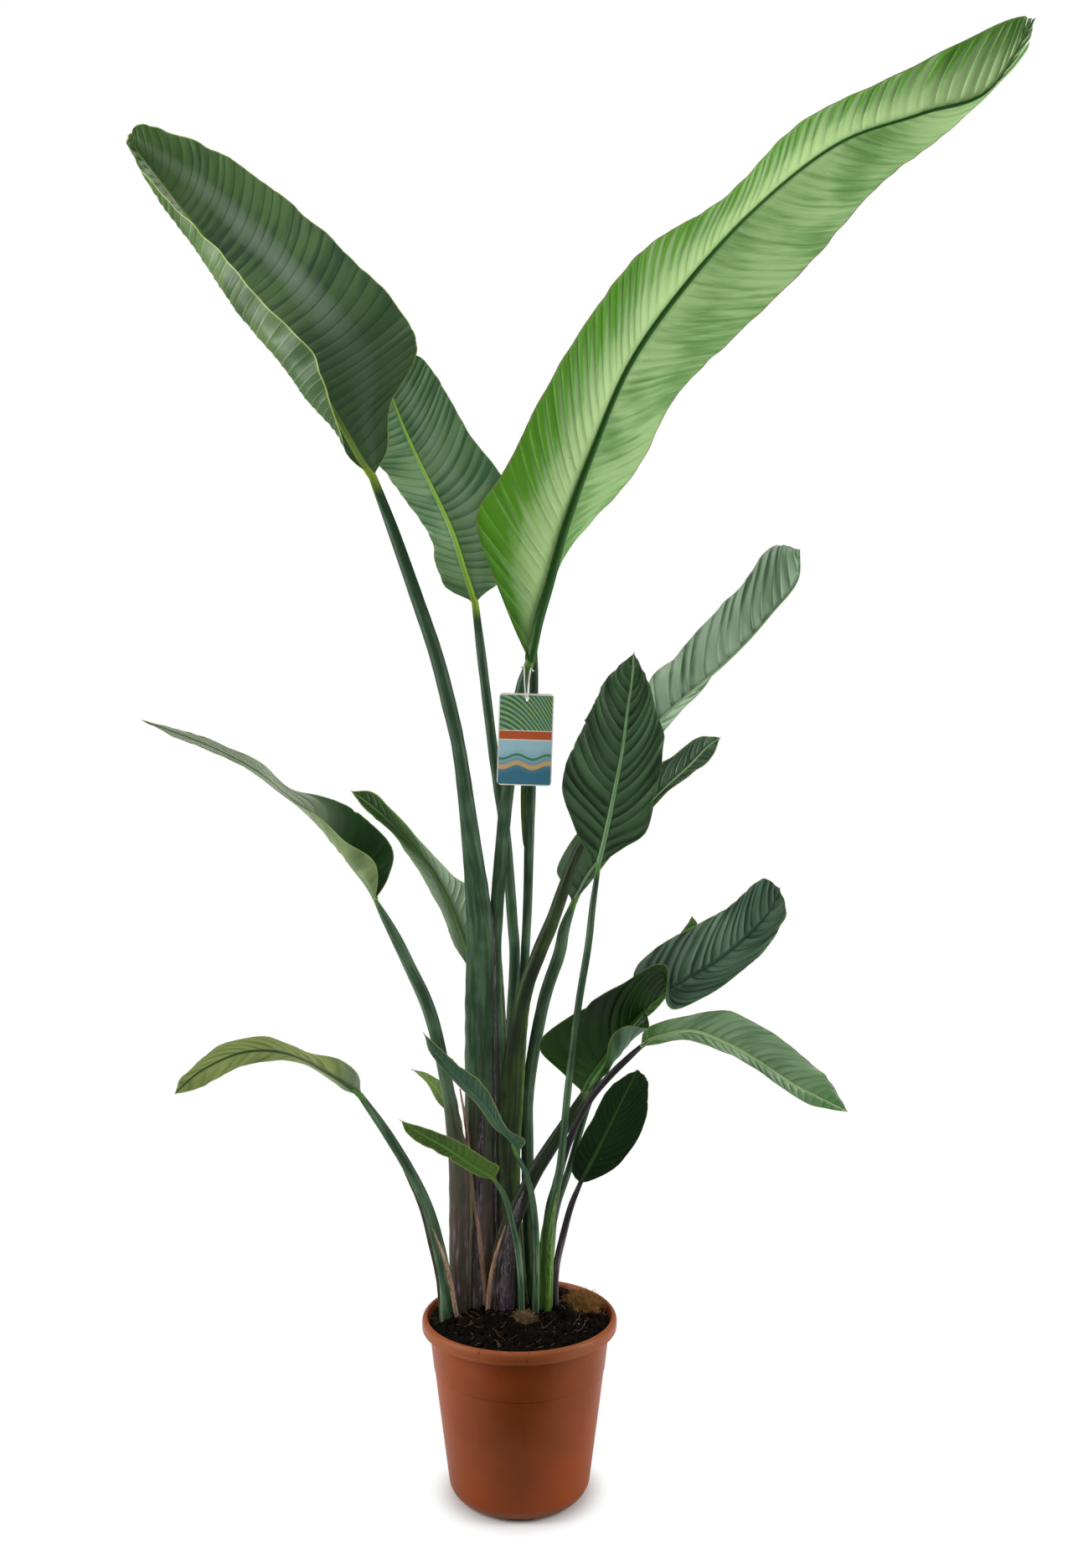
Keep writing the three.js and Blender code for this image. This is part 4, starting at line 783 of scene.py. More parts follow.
def tag_material(centre, tilt):
    """A plain printed card: a panel of leaf stripes, an orange band and a blue panel of hills."""
    material, net = new_material("tag_card")
    lean = {"Vector": net.place(), "Center": centre, "Angle": -tilt}
    upright = net.signal("VectorRotate", lean, rotation_type="Y_AXIS")
    local = net.signal("Mapping", {"Vector": upright, "Location": [-c for c in centre]})
    x, y, z = net.parts(local)

    def window(value, low, high, soft=0.0003):
        return value.ramp(low - soft, low + soft) * value.ramp(high + soft, high - soft)

    def panel(low, high):
        return window(x, -PANEL_HALF_WIDTH, PANEL_HALF_WIDTH) * window(z, low, high)

    stripe = net.math("SINE", (z + x * x * 12.0 + x) * 900.0)
    greens = net.mix(stripe.ramp(-0.5, 0.7), rgb("2f5f3a"), rgb("8fb06a"))
    greens = net.mix(net.noise(local, 120.0).ramp(0.4, 0.7, 0.0, 0.5), greens, rgb("4b8a8f"))
    hills = z + net.math("SINE", x * 160.0) * 0.003
    blues = net.mix(hills.ramp(-0.045, -0.008), rgb("2f6f86"), rgb("9cc4cf"))
    blues = net.mix(window(hills, -0.036, -0.03), blues, rgb("c9a46c"))
    blues = net.mix(window(hills, -0.024, -0.021), blues, rgb("3c7a52"))
    card = net.mix(net.noise(local, 60.0).ramp(0.3, 0.7), rgb("dedbd0"), rgb("e9e6dc"))
    face = net.mix(panel(*STRIPES), card, greens)
    face = net.mix(panel(*ORANGE_BAND), face, rgb("b8521c"))
    face = net.mix(panel(*HILLS), face, blues)
    colour = net.mix(y.ramp(0.0002, -0.0002), card, face)  # only its front is printed
    bend = net.noise(local, 25.0, 1.0)
    height = net.noise(local, 2500.0, 2.0) * 0.03 + bend
    finish_material(net, colour, bend.ramp(0.3, 0.7, 0.28, 0.38), height, 0.0012, Coat_Weight=0.3,
                    Coat_Roughness=0.2)
    return material


# ---- camera ----

PHOTO_HEIGHT = 1872  # in pixels
FOCAL_LENGTH = 1605  # in the same pixels
camera = bpy.data.objects.new("camera", bpy.data.cameras.new("camera"))
camera.data.sensor_width = 36
camera.data.lens = FOCAL_LENGTH / PHOTO_HEIGHT * camera.data.sensor_width
camera.location = (0.025, -1.73, 0.905)
camera.rotation_euler = (math.radians(90), 0, 0)
bpy.context.scene.collection.objects.link(camera)
bpy.context.scene.camera = camera


# ---- bodies ----

def ride(made, slot, material, *nodes):
    """Gives a piece its materials, its body and the nodes that it stands for. slot is not used."""
    for each in (material if isinstance(material, (list, tuple)) else [material]):
        made.data.materials.append(each)
    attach(made, "root")
    if nodes:
        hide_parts(*nodes)
    return made


# ---- the tag and its string, tied round the stalk of the largest leaf ----

TAG_CENTRE = np.array([7.5, -9.4, 962]) * MM
TAG_TILT = math.radians(1.8)
HOLE_DROP = 52 * MM  # from the tag's middle up to its hole
STRING_RADIUS = 0.8 * MM
STRING_PLIES = 3
STRING_TURN = 1100  # radians that the plies turn in a metre
LOOP_RADIUS = (7.3 + 0.8 + 0.35) * MM  # round the stalk, the string's radius and a small gap
LOOP_PLACE = 0.975  # how far up the stalk the loop lies, from 0 to 1
LOOP_START, LOOP_TURN, LOOP_STEPS = -122, 296, 12  # the loop's first angle and its turn, in degrees


def stalk_points(leaf):
    """A stalk's route and its half sizes there."""
    points = np.array(leaf["stalk"], float) * MM
    return points[:, :3], points[:, 3:]


def string_route():
    """Up from the card's hole, round the stalk, and down to the hole again."""
    stalk, _ = stalk_points(LEAVES["leaf_upper_right"])
    centre = spline(stalk, LOOP_PLACE)
    along = unit(spline(stalk, LOOP_PLACE, 1))
    depth = unit(np.array([0, 1.0, 0]) - along * along[1])
    wide = np.cross(depth, along)
    hole = TAG_CENTRE + HOLE_DROP * np.array([math.sin(TAG_TILT), 0, math.cos(TAG_TILT)])

    def strand(side):
        offsets = [(1.2, -0.2, 0), (1.3, -2.2, 1.6), (1.6, -2.0, 8), (2.6, -1.2, 20)]
        return [hole + np.array([side * x, y, z]) * MM for x, y, z in offsets]

    loop = []
    for k in range(LOOP_STEPS + 1):
        angle = math.radians(LOOP_START - LOOP_TURN * k / LOOP_STEPS)
        loop.append(centre + LOOP_RADIUS * (wide * math.cos(angle) + depth * math.sin(angle)))
    points = np.array(strand(-1) + loop + strand(1)[::-1])
    return spline(points, evenly(points, 0.9 * MM)[0])


def plied(centres, radius, plies, turn, sides=24, groove=0.22):
    """A string of twisted plies: rings with lobes that turn along the route."""
    swell = np.abs(np.cos(plies / 2 * circle(sides) - turn * arc_lengths(centres)[:, None]))
    return loft(rings_round(centres, sides, radius * (1 - groove * (1 - swell))))


string_points = string_route()
twine = plied(string_points, STRING_RADIUS, STRING_PLIES, STRING_TURN)
tag_string = ride(new_object("tag_string_twine", *twine), "tag_string", STRING_MATERIAL, "tag_string")

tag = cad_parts["tag"]
tag.data.materials.clear()
tag.data.materials.append(tag_material(tuple(TAG_CENTRE), TAG_TILT))


# ---- leaf blades ----

MARGIN_WEAR = ((0.6 * MM, (0.02, 0.07)), (0.12 * MM, (0.005, 0.012)))  # depths and wavelengths
PLEAT_FADE = 6 * MM  # over this distance the pleats fade out at the margin
BEVEL = 20 * MM  # and over this one the blade grows thinner
VEIN_DEPTH = 0.12 * MM  # how far a side vein stands out below


def rib_radius(leaf, u, swell=1.0):
    """Half the midrib's width: the stalk's at the foot, and thin at the tip."""
    foot = 0.9 * min(leaf["stalk"][-1][3:]) * MM
    return RIB_TIP_RADIUS * swell + (foot * swell - RIB_TIP_RADIUS * swell) * (1 - u) ** 1.15


def rib_and_margin(leaf, side):
    """The points of the midrib, and of the margin from the rib's foot to its tip."""
    rib = np.array(leaf["rib"]) * MM
    return rib, np.concatenate([rib[:1], np.array(leaf[side]) * MM, rib[-1:]])


def half_blade(leaf, side, u, t, trim):
    """Points of one half of a blade, at u along the rib and t across it, and its width there."""
    rib_points, margin_points = rib_and_margin(leaf, side)
    rib = spline(rib_points, u)
    along = unit(spline(rib_points, u, 1))
    reach = spline(margin_points, u) - rib
    inner = np.clip(u, 0.04, 0.96)
    spare = unit(spline(margin_points, inner) - spline(rib_points, inner))
    least = np.where(u < 0.5, 1.1 * rib_radius(leaf, u), 0.8 * MM)
    short = np.maximum(least - length_of(reach), 0)
    reach = reach + spare * short[..., None]
    size = length_of(reach)
    reach = reach * (1 - np.minimum(trim / size, 0.9))[..., None]
    size = length_of(reach)
    up = unit(np.cross(along, reach) if side == "left" else np.cross(reach, along))
    curl = spline(profile(leaf["curl_" + side]), u)[..., 0]
    middle = reach / 2 + up * (curl * size)[..., None]
    t = t[..., None]
    return rib + 2 * t * (1 - t) * middle + t * t * reach, size


def grid_normals(grid):
    across = np.gradient(grid, axis=1)
    along = np.gradient(grid, axis=0)
    return unit(np.cross(across, along))


def ruffled_half(rng, leaf, style, side, total, u_row, row, radius):
    """Points of one half of a blade, their distance to the margin, and how far each is ruffled."""
    rib_points, margin_points = rib_and_margin(leaf, side)
    wide = length_of(spline(margin_points, FINE) - spline(rib_points, FINE))
    forward = min(style["lean"] * wide.max() / total, 0.2)
    size = np.maximum(np.interp(u_row, FINE, wide), 1.1 * radius)
    near = np.minimum(RIB_STEPS[-1] * radius / size, 0.45)
    steps = [near * step / RIB_STEPS[-1] for step in (0,) + RIB_STEPS]
    steps += [near + (1 - near) * k / BLADE_COLUMNS for k in range(1, BLADE_COLUMNS + 1)]
    t = np.concatenate(steps, axis=1)
    u = np.clip(u_row + forward * 4 * u_row * (1 - u_row) * t ** 1.4, 0, 1)
    trim = sum(depth * (1 + ripples(rng, row, waves)) for depth, waves in MARGIN_WEAR)
    for edge, place, deep, half in style["notches"]:
        if edge == side:
            gap = np.abs(row - place * total) / (half * MM)
            trim = np.maximum(trim, deep * MM * (1 - gap))
    points, size = half_blade(leaf, side, u, t, np.broadcast_to(np.maximum(trim, 0), t.shape))
    fade = smooth_step(u_row, 0.0, 0.12) * smooth_step(u_row, 1.0, 0.9)
    swing = ripples(rng, row, (0.025, 0.09)) * smooth_step(size[:, -1:], 0.005, 0.04)
    slow = ripples(rng, row, (0.06, 0.2))
    wave = style["ruffle"] * MM * fade * (swing * t ** 3 + 0.6 * slow * t * t)
    return points, (1 - t) * size, wave


def blade(name, leaf, style):
    """A leaf's blade: pleated between its side veins, with a groove over the midrib."""
    rng = np.random.default_rng(style["seed"])
    arc = arc_lengths(spline(np.array(leaf["rib"]) * MM, FINE))
    total = arc[-1]
    spacing = style["vein"] * MM
    veins = np.cumsum(spacing * rng.uniform(0.75, 1.25, int(3 * total / spacing)))
    veins = np.concatenate([[0], veins[:max(4, np.searchsorted(veins, total))]])
    veins *= total / veins[-1]
    gaps = np.diff(veins)[:, None]
    row = np.append((veins[:-1, None] + gaps * VEIN_STEPS).ravel(), total)[:, None]
    number = np.append((np.arange(len(gaps))[:, None] + VEIN_STEPS).ravel(), len(gaps))[:, None]
    crest = np.append(np.tile(np.abs(2 * np.array(VEIN_STEPS) - 1), len(gaps)), 1.0)[:, None]
    swell = np.append(np.repeat(rng.uniform(0.6, 1.2, len(gaps)), len(VEIN_STEPS)), 0.0)[:, None]
    u_row = np.interp(row, arc, FINE)
    radius = rib_radius(leaf, u_row, style["swell"])

    left, right = (ruffled_half(rng, leaf, style, side, total, u_row, row, radius)
                   for side in ("left", "right"))
    grid, rim, wave = (np.concatenate([a[:, ::-1], b[:, 1:]], axis=1) for a, b in zip(left, right))
    middle = left[1].shape[1] - 1
    sign = np.where(np.arange(grid.shape[1]) < middle, -1.0, 1.0)
    away = length_of(grid - grid[:, middle:middle + 1])
    bulge = style["pleat"] * MM * swell * np.sqrt(np.maximum(1 - crest ** 2, 0))
    bulge = bulge * smooth_step(away, 1.0 * radius, 3.5 * radius) * smooth_step(rim, 0.0, PLEAT_FADE)
    bulge = bulge * smooth_step(u_row, 0.0, 0.08)
    grid = grid + grid_normals(grid) * (bulge + wave)[..., None]
    normals = grid_normals(grid)
    half = 0.5 * (MARGIN_THICKNESS + (BLADE_THICKNESS - MARGIN_THICKNESS) * smooth_step(rim, 0, BEVEL))
    ribs = away / radius
    ridge = radius * np.sqrt(np.maximum(1 - ribs ** 2, 0))
    groove = radius * (0.14 * np.exp(-((ribs - 1) / 0.4) ** 2) - 0.28 * np.exp(-(ribs / 0.5) ** 2))
    veins_under = VEIN_DEPTH * smooth_step(crest, 0.7, 1.0) * (ribs > 1) * smooth_step(rim, 0, 0.01)
    top = grid + normals * (half + groove * smooth_step(u_row, 0, 0.05))[..., None]
    bottom = grid - normals * (half + ridge + veins_under)[..., None]
    points, quads = sheet(top, bottom)
    made = new_object(name, points, quads)
    face = (grid.shape[0] - 1) * (grid.shape[1] - 1)
    underside = (np.arange(len(quads)) >= face) & (np.arange(len(quads)) < 2 * face)
    made.data.polygons.foreach_set("material_index", underside.astype(np.int32))
    set_attributes(made, grid.shape[:2], 2, vein=(number, style["calm"] * row, sign * away),
                   place=(u_row, sign * ribs, rim))
    return made


def foot_normal(leaf):
    """The upper face's direction where the stalk meets the blade."""
    u = np.array([0.06])
    rib, left_margin = rib_and_margin(leaf, "left")
    _, right_margin = rib_and_margin(leaf, "right")
    return unit(np.cross(spline(right_margin, u) - spline(left_margin, u), spline(rib, u, 1)))[0]


# ---- stalks ----

STALK_FLAT = 80 * MM  # how far below the blade a stalk's upper side turns flat
STALK_OVERLAP = 14 * MM  # how far it runs on under the blade, as the midrib


def stalk_route(leaf):
    """A stalk's centres, half sizes and distances, running on into the midrib."""
    path, sizes = stalk_points(leaf)
    u, distances = evenly(path, STALK_RING)
    half = spline(sizes, u)
    rib = np.array(leaf["rib"]) * MM
    on, run = evenly(rib, 2 * MM)
    into = (run > 1 * MM) & (run <= STALK_OVERLAP)
    radius = rib_radius(leaf, on[into])
    blend = smooth_step(run[into], 0, STALK_OVERLAP)[:, None]
    tail = half[-1] * (1 - blend) + 0.85 * radius[:, None] * blend
    centres = np.concatenate([spline(path, u), spline(rib, on[into])])
    return centres, np.concatenate([half, tail]), np.concatenate([distances, distances[-1] + run[into]])


def stalk(name, leaf, style):
    """A leaf's stalk: finely ribbed and round, with a flat and then grooved side under the blade."""
    rng = np.random.default_rng(style["seed"] + 100)
    centres, half, distances = stalk_route(leaf)
    _, wide, depth = frames_of(centres)
    angle = circle(STALK_SIDES)
    row = distances[:, None]
    mean = half.mean(axis=1)[:, None]
    size = 1 + 0.012 * np.sin(9 * angle + 3 * ripples(rng, row, (0.3, 0.6)))
    size = size + 0.012 * ripples(rng, row, (0.02, 0.08))
    offset = (wide[:, None] * (half[:, :1] * np.cos(angle) * size)[..., None]
              + depth[:, None] * (half[:, 1:] * np.sin(angle) * size)[..., None])
    up = foot_normal(leaf)
    blade_foot = distances[-1] - STALK_OVERLAP
    flat = smooth_step(row, blade_foot - STALK_FLAT, blade_foot)
    height = offset @ up
    over = np.maximum(height - mean * (1.05 - 0.8 * flat), 0) * flat
    lateral = length_of(offset - height[..., None] * up) / mean
    dent = 0.28 * mean * flat * np.exp(-(lateral / 0.5) ** 2) * (height > 0)
    rings = centres[:, None] + offset - up * (over + dent)[..., None]
    made = new_object(name, *loft(rings))
    around = np.where(angle > np.pi, mean * (2 * np.pi - angle) + 0.05, mean * angle)
    set_attributes(made, rings.shape[:2], vein=(0.0, around, row),
                   place=(row / blade_foot, 0.0, rings[..., 2] - POT_HEIGHT))
    return made


STALK_KINDS = {
    "leaf_right_upright": "shoot", "leaf_upper_left": "hooked", "leaf_upper_middle": "hooked",
    "leaf_right_twisted": "dusky", "leaf_right_drooping": "purple", "leaf_low_right": "purple",
    "leaf_right_rolled": "olive", "leaf_small_crossing": "fresh_and_glow", "leaf_small_front": "fresh_and_glow",
    "leaf_right_slender": "fresh_and_glow", "leaf_right_hidden": "fresh_and_glow", "leaf_left_arching": "fresh_and_glow",
}

for leaf_name, leaf in LEAVES.items():
    style = LOOKS[leaf_name]
    faces = [leaf_material(leaf_name + label, style, k) for k, label in enumerate(("_top", "_under"))]
    ride(blade(leaf_name + "_leaf", leaf, style), "leaf_blade", faces, leaf_name + "_blade")
    petiole = stalk(leaf_name + "_petiole", leaf, style)
    material = STALK_MATERIALS[STALK_KINDS.get(leaf_name, "plain")]
    ride(petiole, "leaf_stalk", material, leaf_name + "_stalk")


# ---- strips: dry husks, sheath margins, loose sheaths and young shoots ----

STRIP_THICKNESS = 0.5 * MM
MARGIN_STRIP_THICKNESS = 0.4 * MM
LEAST_HALF_WIDTH = 0.4 * MM


def strip(name, centres, half_width, curl, turn, thickness, wave, seed, columns=12):
    """A thin strip along centres. curl is how many radians it bends to each side, turn where it
    faces, and wave how far its edges wave."""
    rng = np.random.default_rng(seed)
    _, wide, depth = frames_of(centres)
    row = arc_lengths(centres)[:, None]
    half, curl, turn = (np.broadcast_to(value, len(centres))[:, None] for value in (half_width, curl, turn))
    sideways = wide * np.cos(turn) + depth * np.sin(turn)
    outwards = depth * np.cos(turn) - wide * np.sin(turn)
    side = np.linspace(-1, 1, columns + 1)[None]
    across = half * np.sin(curl * side) / curl
    back = half * (1 - np.cos(curl * side)) / curl
    back = back + wave * ripples(rng, row + 0.004 * side, (0.012, 0.04)) * np.abs(side)
    grid = centres[:, None] + across[..., None] * sideways[:, None] + back[..., None] * outwards[:, None]
    normals = grid_normals(grid) * (0.5 * thickness)
    return new_object(name, *sheet(grid + normals, grid - normals))


def along_route(points, half_widths):
    """A route through points in millimetres, its half widths, and where each of its points lies."""
    points = np.array(points, float) * MM
    u, _ = evenly(points, 2 * MM)
    return spline(points, u), spline(profile(half_widths) * MM, u)[:, 0], u


HUSKS = {
    "dry_husk_left": (
        [(-78, -24, 222), (-83, -34, 262), (-88, -41, 292), (-95, -45, 318), (-108, -51, 350)],
        (3, 3.5, 3.5, 3, 1), (0.3, 1.4)),
    "dry_husk_middle": (
        [(-41, -10.5, 222), (-45, -10.5, 270), (-53, -10, 341), (-61, -9, 397), (-68, -9, 469),
         (-76, -9, 515)],
        (3.5, 4, 4, 3.5, 3, 1), (0, 0.5)),
    "dry_husk_front": (
        [(-41, -20, 222), (-36, -25, 272), (-28, -30, 310), (-17, -32, 347)], (3.5, 4, 3.5, 1), (0, 0.9)),
}
for seed, (husk_name, (points, widths, turns)) in enumerate(HUSKS.items(), 1):
    route, half, u = along_route(points, widths)
    turn = np.interp(u, [0, 1], turns)
    curled = strip(husk_name + "_strip", route, half, 1.0 + 0.5 * u, turn, STRIP_THICKNESS, 0.4 * MM, seed)
    ride(curled, "dry_husk", HUSK_MATERIAL, husk_name)


def beside_stalk(leaf_name, start, end, angle):
    """A route along the surface of a stalk, from start to end as shares of its length."""
    centres, half, distances = stalk_route(LEAVES[leaf_name])
    share = distances / (distances[-1] - STALK_OVERLAP)
    pick = (share >= start) & (share <= end)
    _, wide, depth = frames_of(centres)
    out = wide * half[:, :1] * math.cos(angle) + depth * half[:, 1:] * math.sin(angle)
    return (centres + out)[pick]


# A sheath margin stands on a stalk's side from start to end, as shares of the stalk's length.
# angle is the side, 0 being right and 180 left seen from the front, and width how far it stands.
SHEATHS = [
    ("leaf_young_spear", 0.70, 0.90, 180, 7, SHEATH_MATERIAL),
    ("leaf_right_rolled", 0.05, 0.6, -20, 4, SHEATH_MATERIAL),
    ("leaf_upper_left", 0.04, 0.5, -15, 4, SHELL_MATERIAL),
    ("leaf_upper_middle", 0.04, 0.42, 200, 4, PAPER_MATERIAL),
    ("leaf_upper_right", 0.05, 0.55, -10, 4, PAPER_MATERIAL),
    ("leaf_left_twisted", 0.05, 0.6, -30, 4, PAPER_MATERIAL),
    ("leaf_left_arching", 0.05, 0.7, 180, 4, PAPER_MATERIAL),
    ("leaf_right_twisted", 0.05, 0.5, 180, 5, PAPER_MATERIAL),
    ("leaf_right_drooping", 0.05, 0.5, 180, 4, PAPER_MATERIAL),
]
for number, (leaf_name, start, end, angle, width, material) in enumerate(SHEATHS):
    angle = math.radians(angle)
    route = beside_stalk(leaf_name, start, end, angle)
    swell = np.sin(np.pi * np.linspace(0, 1, len(route))) ** 0.6
    half = np.maximum(width * MM * swell, LEAST_HALF_WIDTH)
    piece_name = "sheath_margin_%d" % (number + 1)
    margin = strip(piece_name, route, half, 0.9, angle, MARGIN_STRIP_THICKNESS, 0.5 * MM, 40 + number)
    ride(margin, "leaf_stalk", material)

# Loose sheaths round the stalks' feet: a route, half widths, the bend across and the side faced.
SHELLS = {
    "old_sheath_left": (
        [(-60, -8.2, 222), (-56, -8.7, 300), (-52, -9.7, 400), (-48, -10.3, 487)], (15, 13.5, 8, 0.8), 0.9, 0,
        SHELL_MATERIAL),
    "old_sheath_middle": (
        [(-20, -21.5, 222), (-17, -25, 290), (-9, -29.5, 345), (6, -34, 392)], (17, 14, 9, 0.8), 1.1, 0,
        SHELL_MATERIAL),
    "shoot_sheath_left": (
        [(25, -17, 222), (27, -22, 290), (33, -33, 345), (45, -48, 415)], (5, 5.5, 4, 0.6), 1.0, 0.4,
        SHOOT_MATERIAL),
    "shoot_sheath_front": (
        [(35, -22, 222), (36, -27, 290), (40, -40, 345), (47, -52, 395)], (5.5, 5.5, 3.5, 0.5), 1.1, -0.2,
        SHOOT_MATERIAL),
}
for seed, (shell_name, (points, widths, bend, turn, material)) in enumerate(SHELLS.items(), 70):
    route, half, _ = along_route(points, widths)
    half = np.maximum(half, LEAST_HALF_WIDTH)
    shell = strip(shell_name, route, half, bend, turn, STRIP_THICKNESS, 0.6 * MM, seed, columns=20)
    ride(shell, "leaf_stalk", material)


# ---- pot ----

POT_SECTORS = 160
WALL = (12, 89.5, 205, 115)  # the wall's lower height and radius, and its upper ones, in millimetres
HOLE_RADIUS, HOLE_RING, HOLE_DEPTH, HOLE_COUNT = 5 * MM, 58 * MM, 20 * MM, 6  # the drain holes


def wall_radius(z):
    low, low_radius, high, high_radius = WALL
    return low_radius + (high_radius - low_radius) * (z - low) / (high - low)


def rounded(outline, steps=4):
    """An outline of (radius, height, fillet) with its corners rounded."""
    corners = np.array([(r, z) for r, z, _ in outline], float)
    made = [corners[0]]
    for k in range(1, len(corners) - 1):
        before, here, after = corners[k - 1], corners[k], corners[k + 1]
        cut = [min(outline[k][2], 0.45 * np.linalg.norm(p - here)) for p in (before, after)]
        a = here + unit(before - here) * cut[0]
        b = here + unit(after - here) * cut[1]
        for t in np.linspace(0, 1, steps):
            made.append(a * (1 - t) ** 2 + 2 * here * t * (1 - t) + b * t * t)
    made.append(corners[-1])
    return np.array(made)


def turned(outline, sectors):
    """Rings of a body of revolution through an outline in millimetres."""
    angle = circle(sectors)
    r, z = outline[:, :1] * MM, outline[:, 1:] * MM
    return np.stack([r * np.cos(angle), r * np.sin(angle), z + 0 * angle], -1)


def pot():
    """The pot: a turned wall with a banded rim, and holes through its floor."""
    low_inside = wall_radius(11.5) - 2
    outline = [
        (30, 0, 0), (74, 0, 1.5), (81, 2.5, 2), (86, 7, 3), (wall_radius(14), 14, 3),
        (wall_radius(60), 60, 0.5), (wall_radius(110), 110, 0.5),
        (wall_radius(157.5) - 0.3, 157.5, 0.6), (wall_radius(158.6) - 0.9, 158.7, 0.5),
        (wall_radius(160) + 0.7, 160.2, 0.5), (wall_radius(162) + 0.5, 162, 0.6),
        (115, 205, 2), (116, 210, 3), (119.5, 219.5, 2), (122.8, 219.5, 0.4), (122.8, 209.4, 0.4),
        (124.4, 209.8, 0.6), (124.9, 212, 1), (124.4, 213.3, 0.6), (124.9, 214.6, 0.8), (125, 218, 2),
        (124.2, 222, 1.5), (121.5, 224.8, 1.5), (119, 225, 1), (117.6, 223, 1), (114.4, 213, 3),
        (113, 204, 3), (low_inside, 11.5, 4), (low_inside - 10, 2.5, 2), (30, 2.5, 0)]
    made = new_object("nursery_pot", *loft(turned(rounded(outline), POT_SECTORS)), 40)
    drills = bmesh.new()
    for angle in circle(HOLE_COUNT):
        hole = bmesh.ops.create_cone(drills, cap_ends=True, segments=32, radius1=HOLE_RADIUS,
                                     radius2=HOLE_RADIUS, depth=HOLE_DEPTH)
        shift = Vector((HOLE_RING * math.cos(angle), HOLE_RING * math.sin(angle), 0))
        bmesh.ops.translate(drills, verts=hole["verts"], vec=shift)
    mesh = bpy.data.meshes.new("drain_holes")
    drills.to_mesh(mesh)
    drills.free()
    cutter = bpy.data.objects.new("drain_holes", mesh)
    bpy.context.scene.collection.objects.link(cutter)
    cut = made.modifiers.new("holes", "BOOLEAN")
    cut.operation, cut.object, cut.solver = "DIFFERENCE", cutter, "EXACT"
    graph = bpy.context.evaluated_depsgraph_get()
    cut_mesh = bpy.data.meshes.new_from_object(made.evaluated_get(graph))
    made.modifiers.clear()
    made.data = cut_mesh
    bpy.data.objects.remove(cutter)
    return made


ride(pot(), "pot_plastic", pot_material(), "pot")


# ---- soil ----

SOIL_CROWN, SOIL_DROP, SOIL_EDGE_RADIUS = 236, 17.5, 115.5  # in millimetres


def soil_height(x, y):
    """The mound's height at a place, in metres."""
    share = np.hypot(x, y) / (SOIL_EDGE_RADIUS * MM)
    return (SOIL_CROWN - SOIL_DROP * share ** 2) * MM


def bumps(rng, x, y, wavelengths, count=24):
    """A smooth random surface over x and y, about one high."""
    total = 0
    for _ in range(count):
        heading, size = rng.uniform(0, 2 * np.pi), rng.uniform(*wavelengths)
        place = (x * np.cos(heading) + y * np.sin(heading)) / size
        total = total + np.sin(2 * np.pi * (place + rng.random()))
    return total / math.sqrt(count)


def soil():
    """The soil: a mound with clods and grains, flatter at the pot's wall."""
    rng = np.random.default_rng(61)
    under = [(20, 8), (80, 8), (wall_radius(20) - 3.4, 20), (111, 203)]
    over = [(r, 0) for r in np.linspace(115, 4, 84)]
    rings = turned(np.array(under + over, float), 320)
    top = rings[len(under):]
    x, y = top[..., 0], top[..., 1]
    rough = 1.2 * bumps(rng, x, y, (0.012, 0.05)) + 1.3 * bumps(rng, x, y, (0.005, 0.014), 40)
    rough = rough + 1.1 * np.abs(bumps(rng, x, y, (0.003, 0.007), 50))
    edge = smooth_step(np.hypot(x, y), 0.115, 0.1085)
    top[..., 2] = soil_height(x, y) + MM * rough * (0.3 + 0.7 * edge) - 1.2 * MM * (1 - edge)
    return new_object("potting_soil", *loft(rings), 70)


ride(soil(), "peat_soil", SOIL_MATERIAL, "soil")


# ---- litter and moss ----

LITTER_RADIUS = 108 * MM


def spots(rng, count, lift=1 * MM):
    """Random places on the soil, or lift over it."""
    r, angle = LITTER_RADIUS * np.sqrt(rng.random(count)), rng.uniform(0, 2 * np.pi, count)
    x, y = r * np.cos(angle), r * np.sin(angle)
    return np.stack([x, y, soil_height(x, y) + lift], -1)


def lumps(rng, centres, sizes, squash=(1, 1, 1), rough=0.25):
    """Small uneven grains, each of its own size in millimetres and its own turn."""
    bodies = []
    grain = ball(5, 8)
    for centre, size in zip(centres, sizes * MM):
        spin, _ = np.linalg.qr(rng.normal(size=(3, 3)))
        uneven = 1 + rough * rng.uniform(-1, 1, grain.shape[:2])
        flat = np.array(squash) * rng.uniform(0.75, 1.25, 3)
        bodies.append(loft((grain * uneven[..., None] * flat) @ spin * size + centre))
    return merged(bodies)


def strands(rng, starts, headings, lengths, radius, bend, count=7, sides=5):
    """Fine curling fibres, each from its start towards its heading. Sizes are in millimetres."""
    bodies = []
    for start, heading, length in zip(starts, headings, lengths * MM):
        step, at, heading = length / (count - 1), start, unit(heading)
        route = [at]
        for _ in range(count - 1):
            heading = unit(heading + rng.normal(size=3) * bend * 0.5)
            at = at + heading * step
            route.append(at)
        centres = spline(route, np.linspace(0, 1, 2 * count))
        thick = radius * MM * rng.uniform(0.6, 1.3) * np.linspace(1, 0.45, len(centres))[:, None]
        bodies.append(loft(rings_round(centres, sides, thick)))
    return merged(bodies)


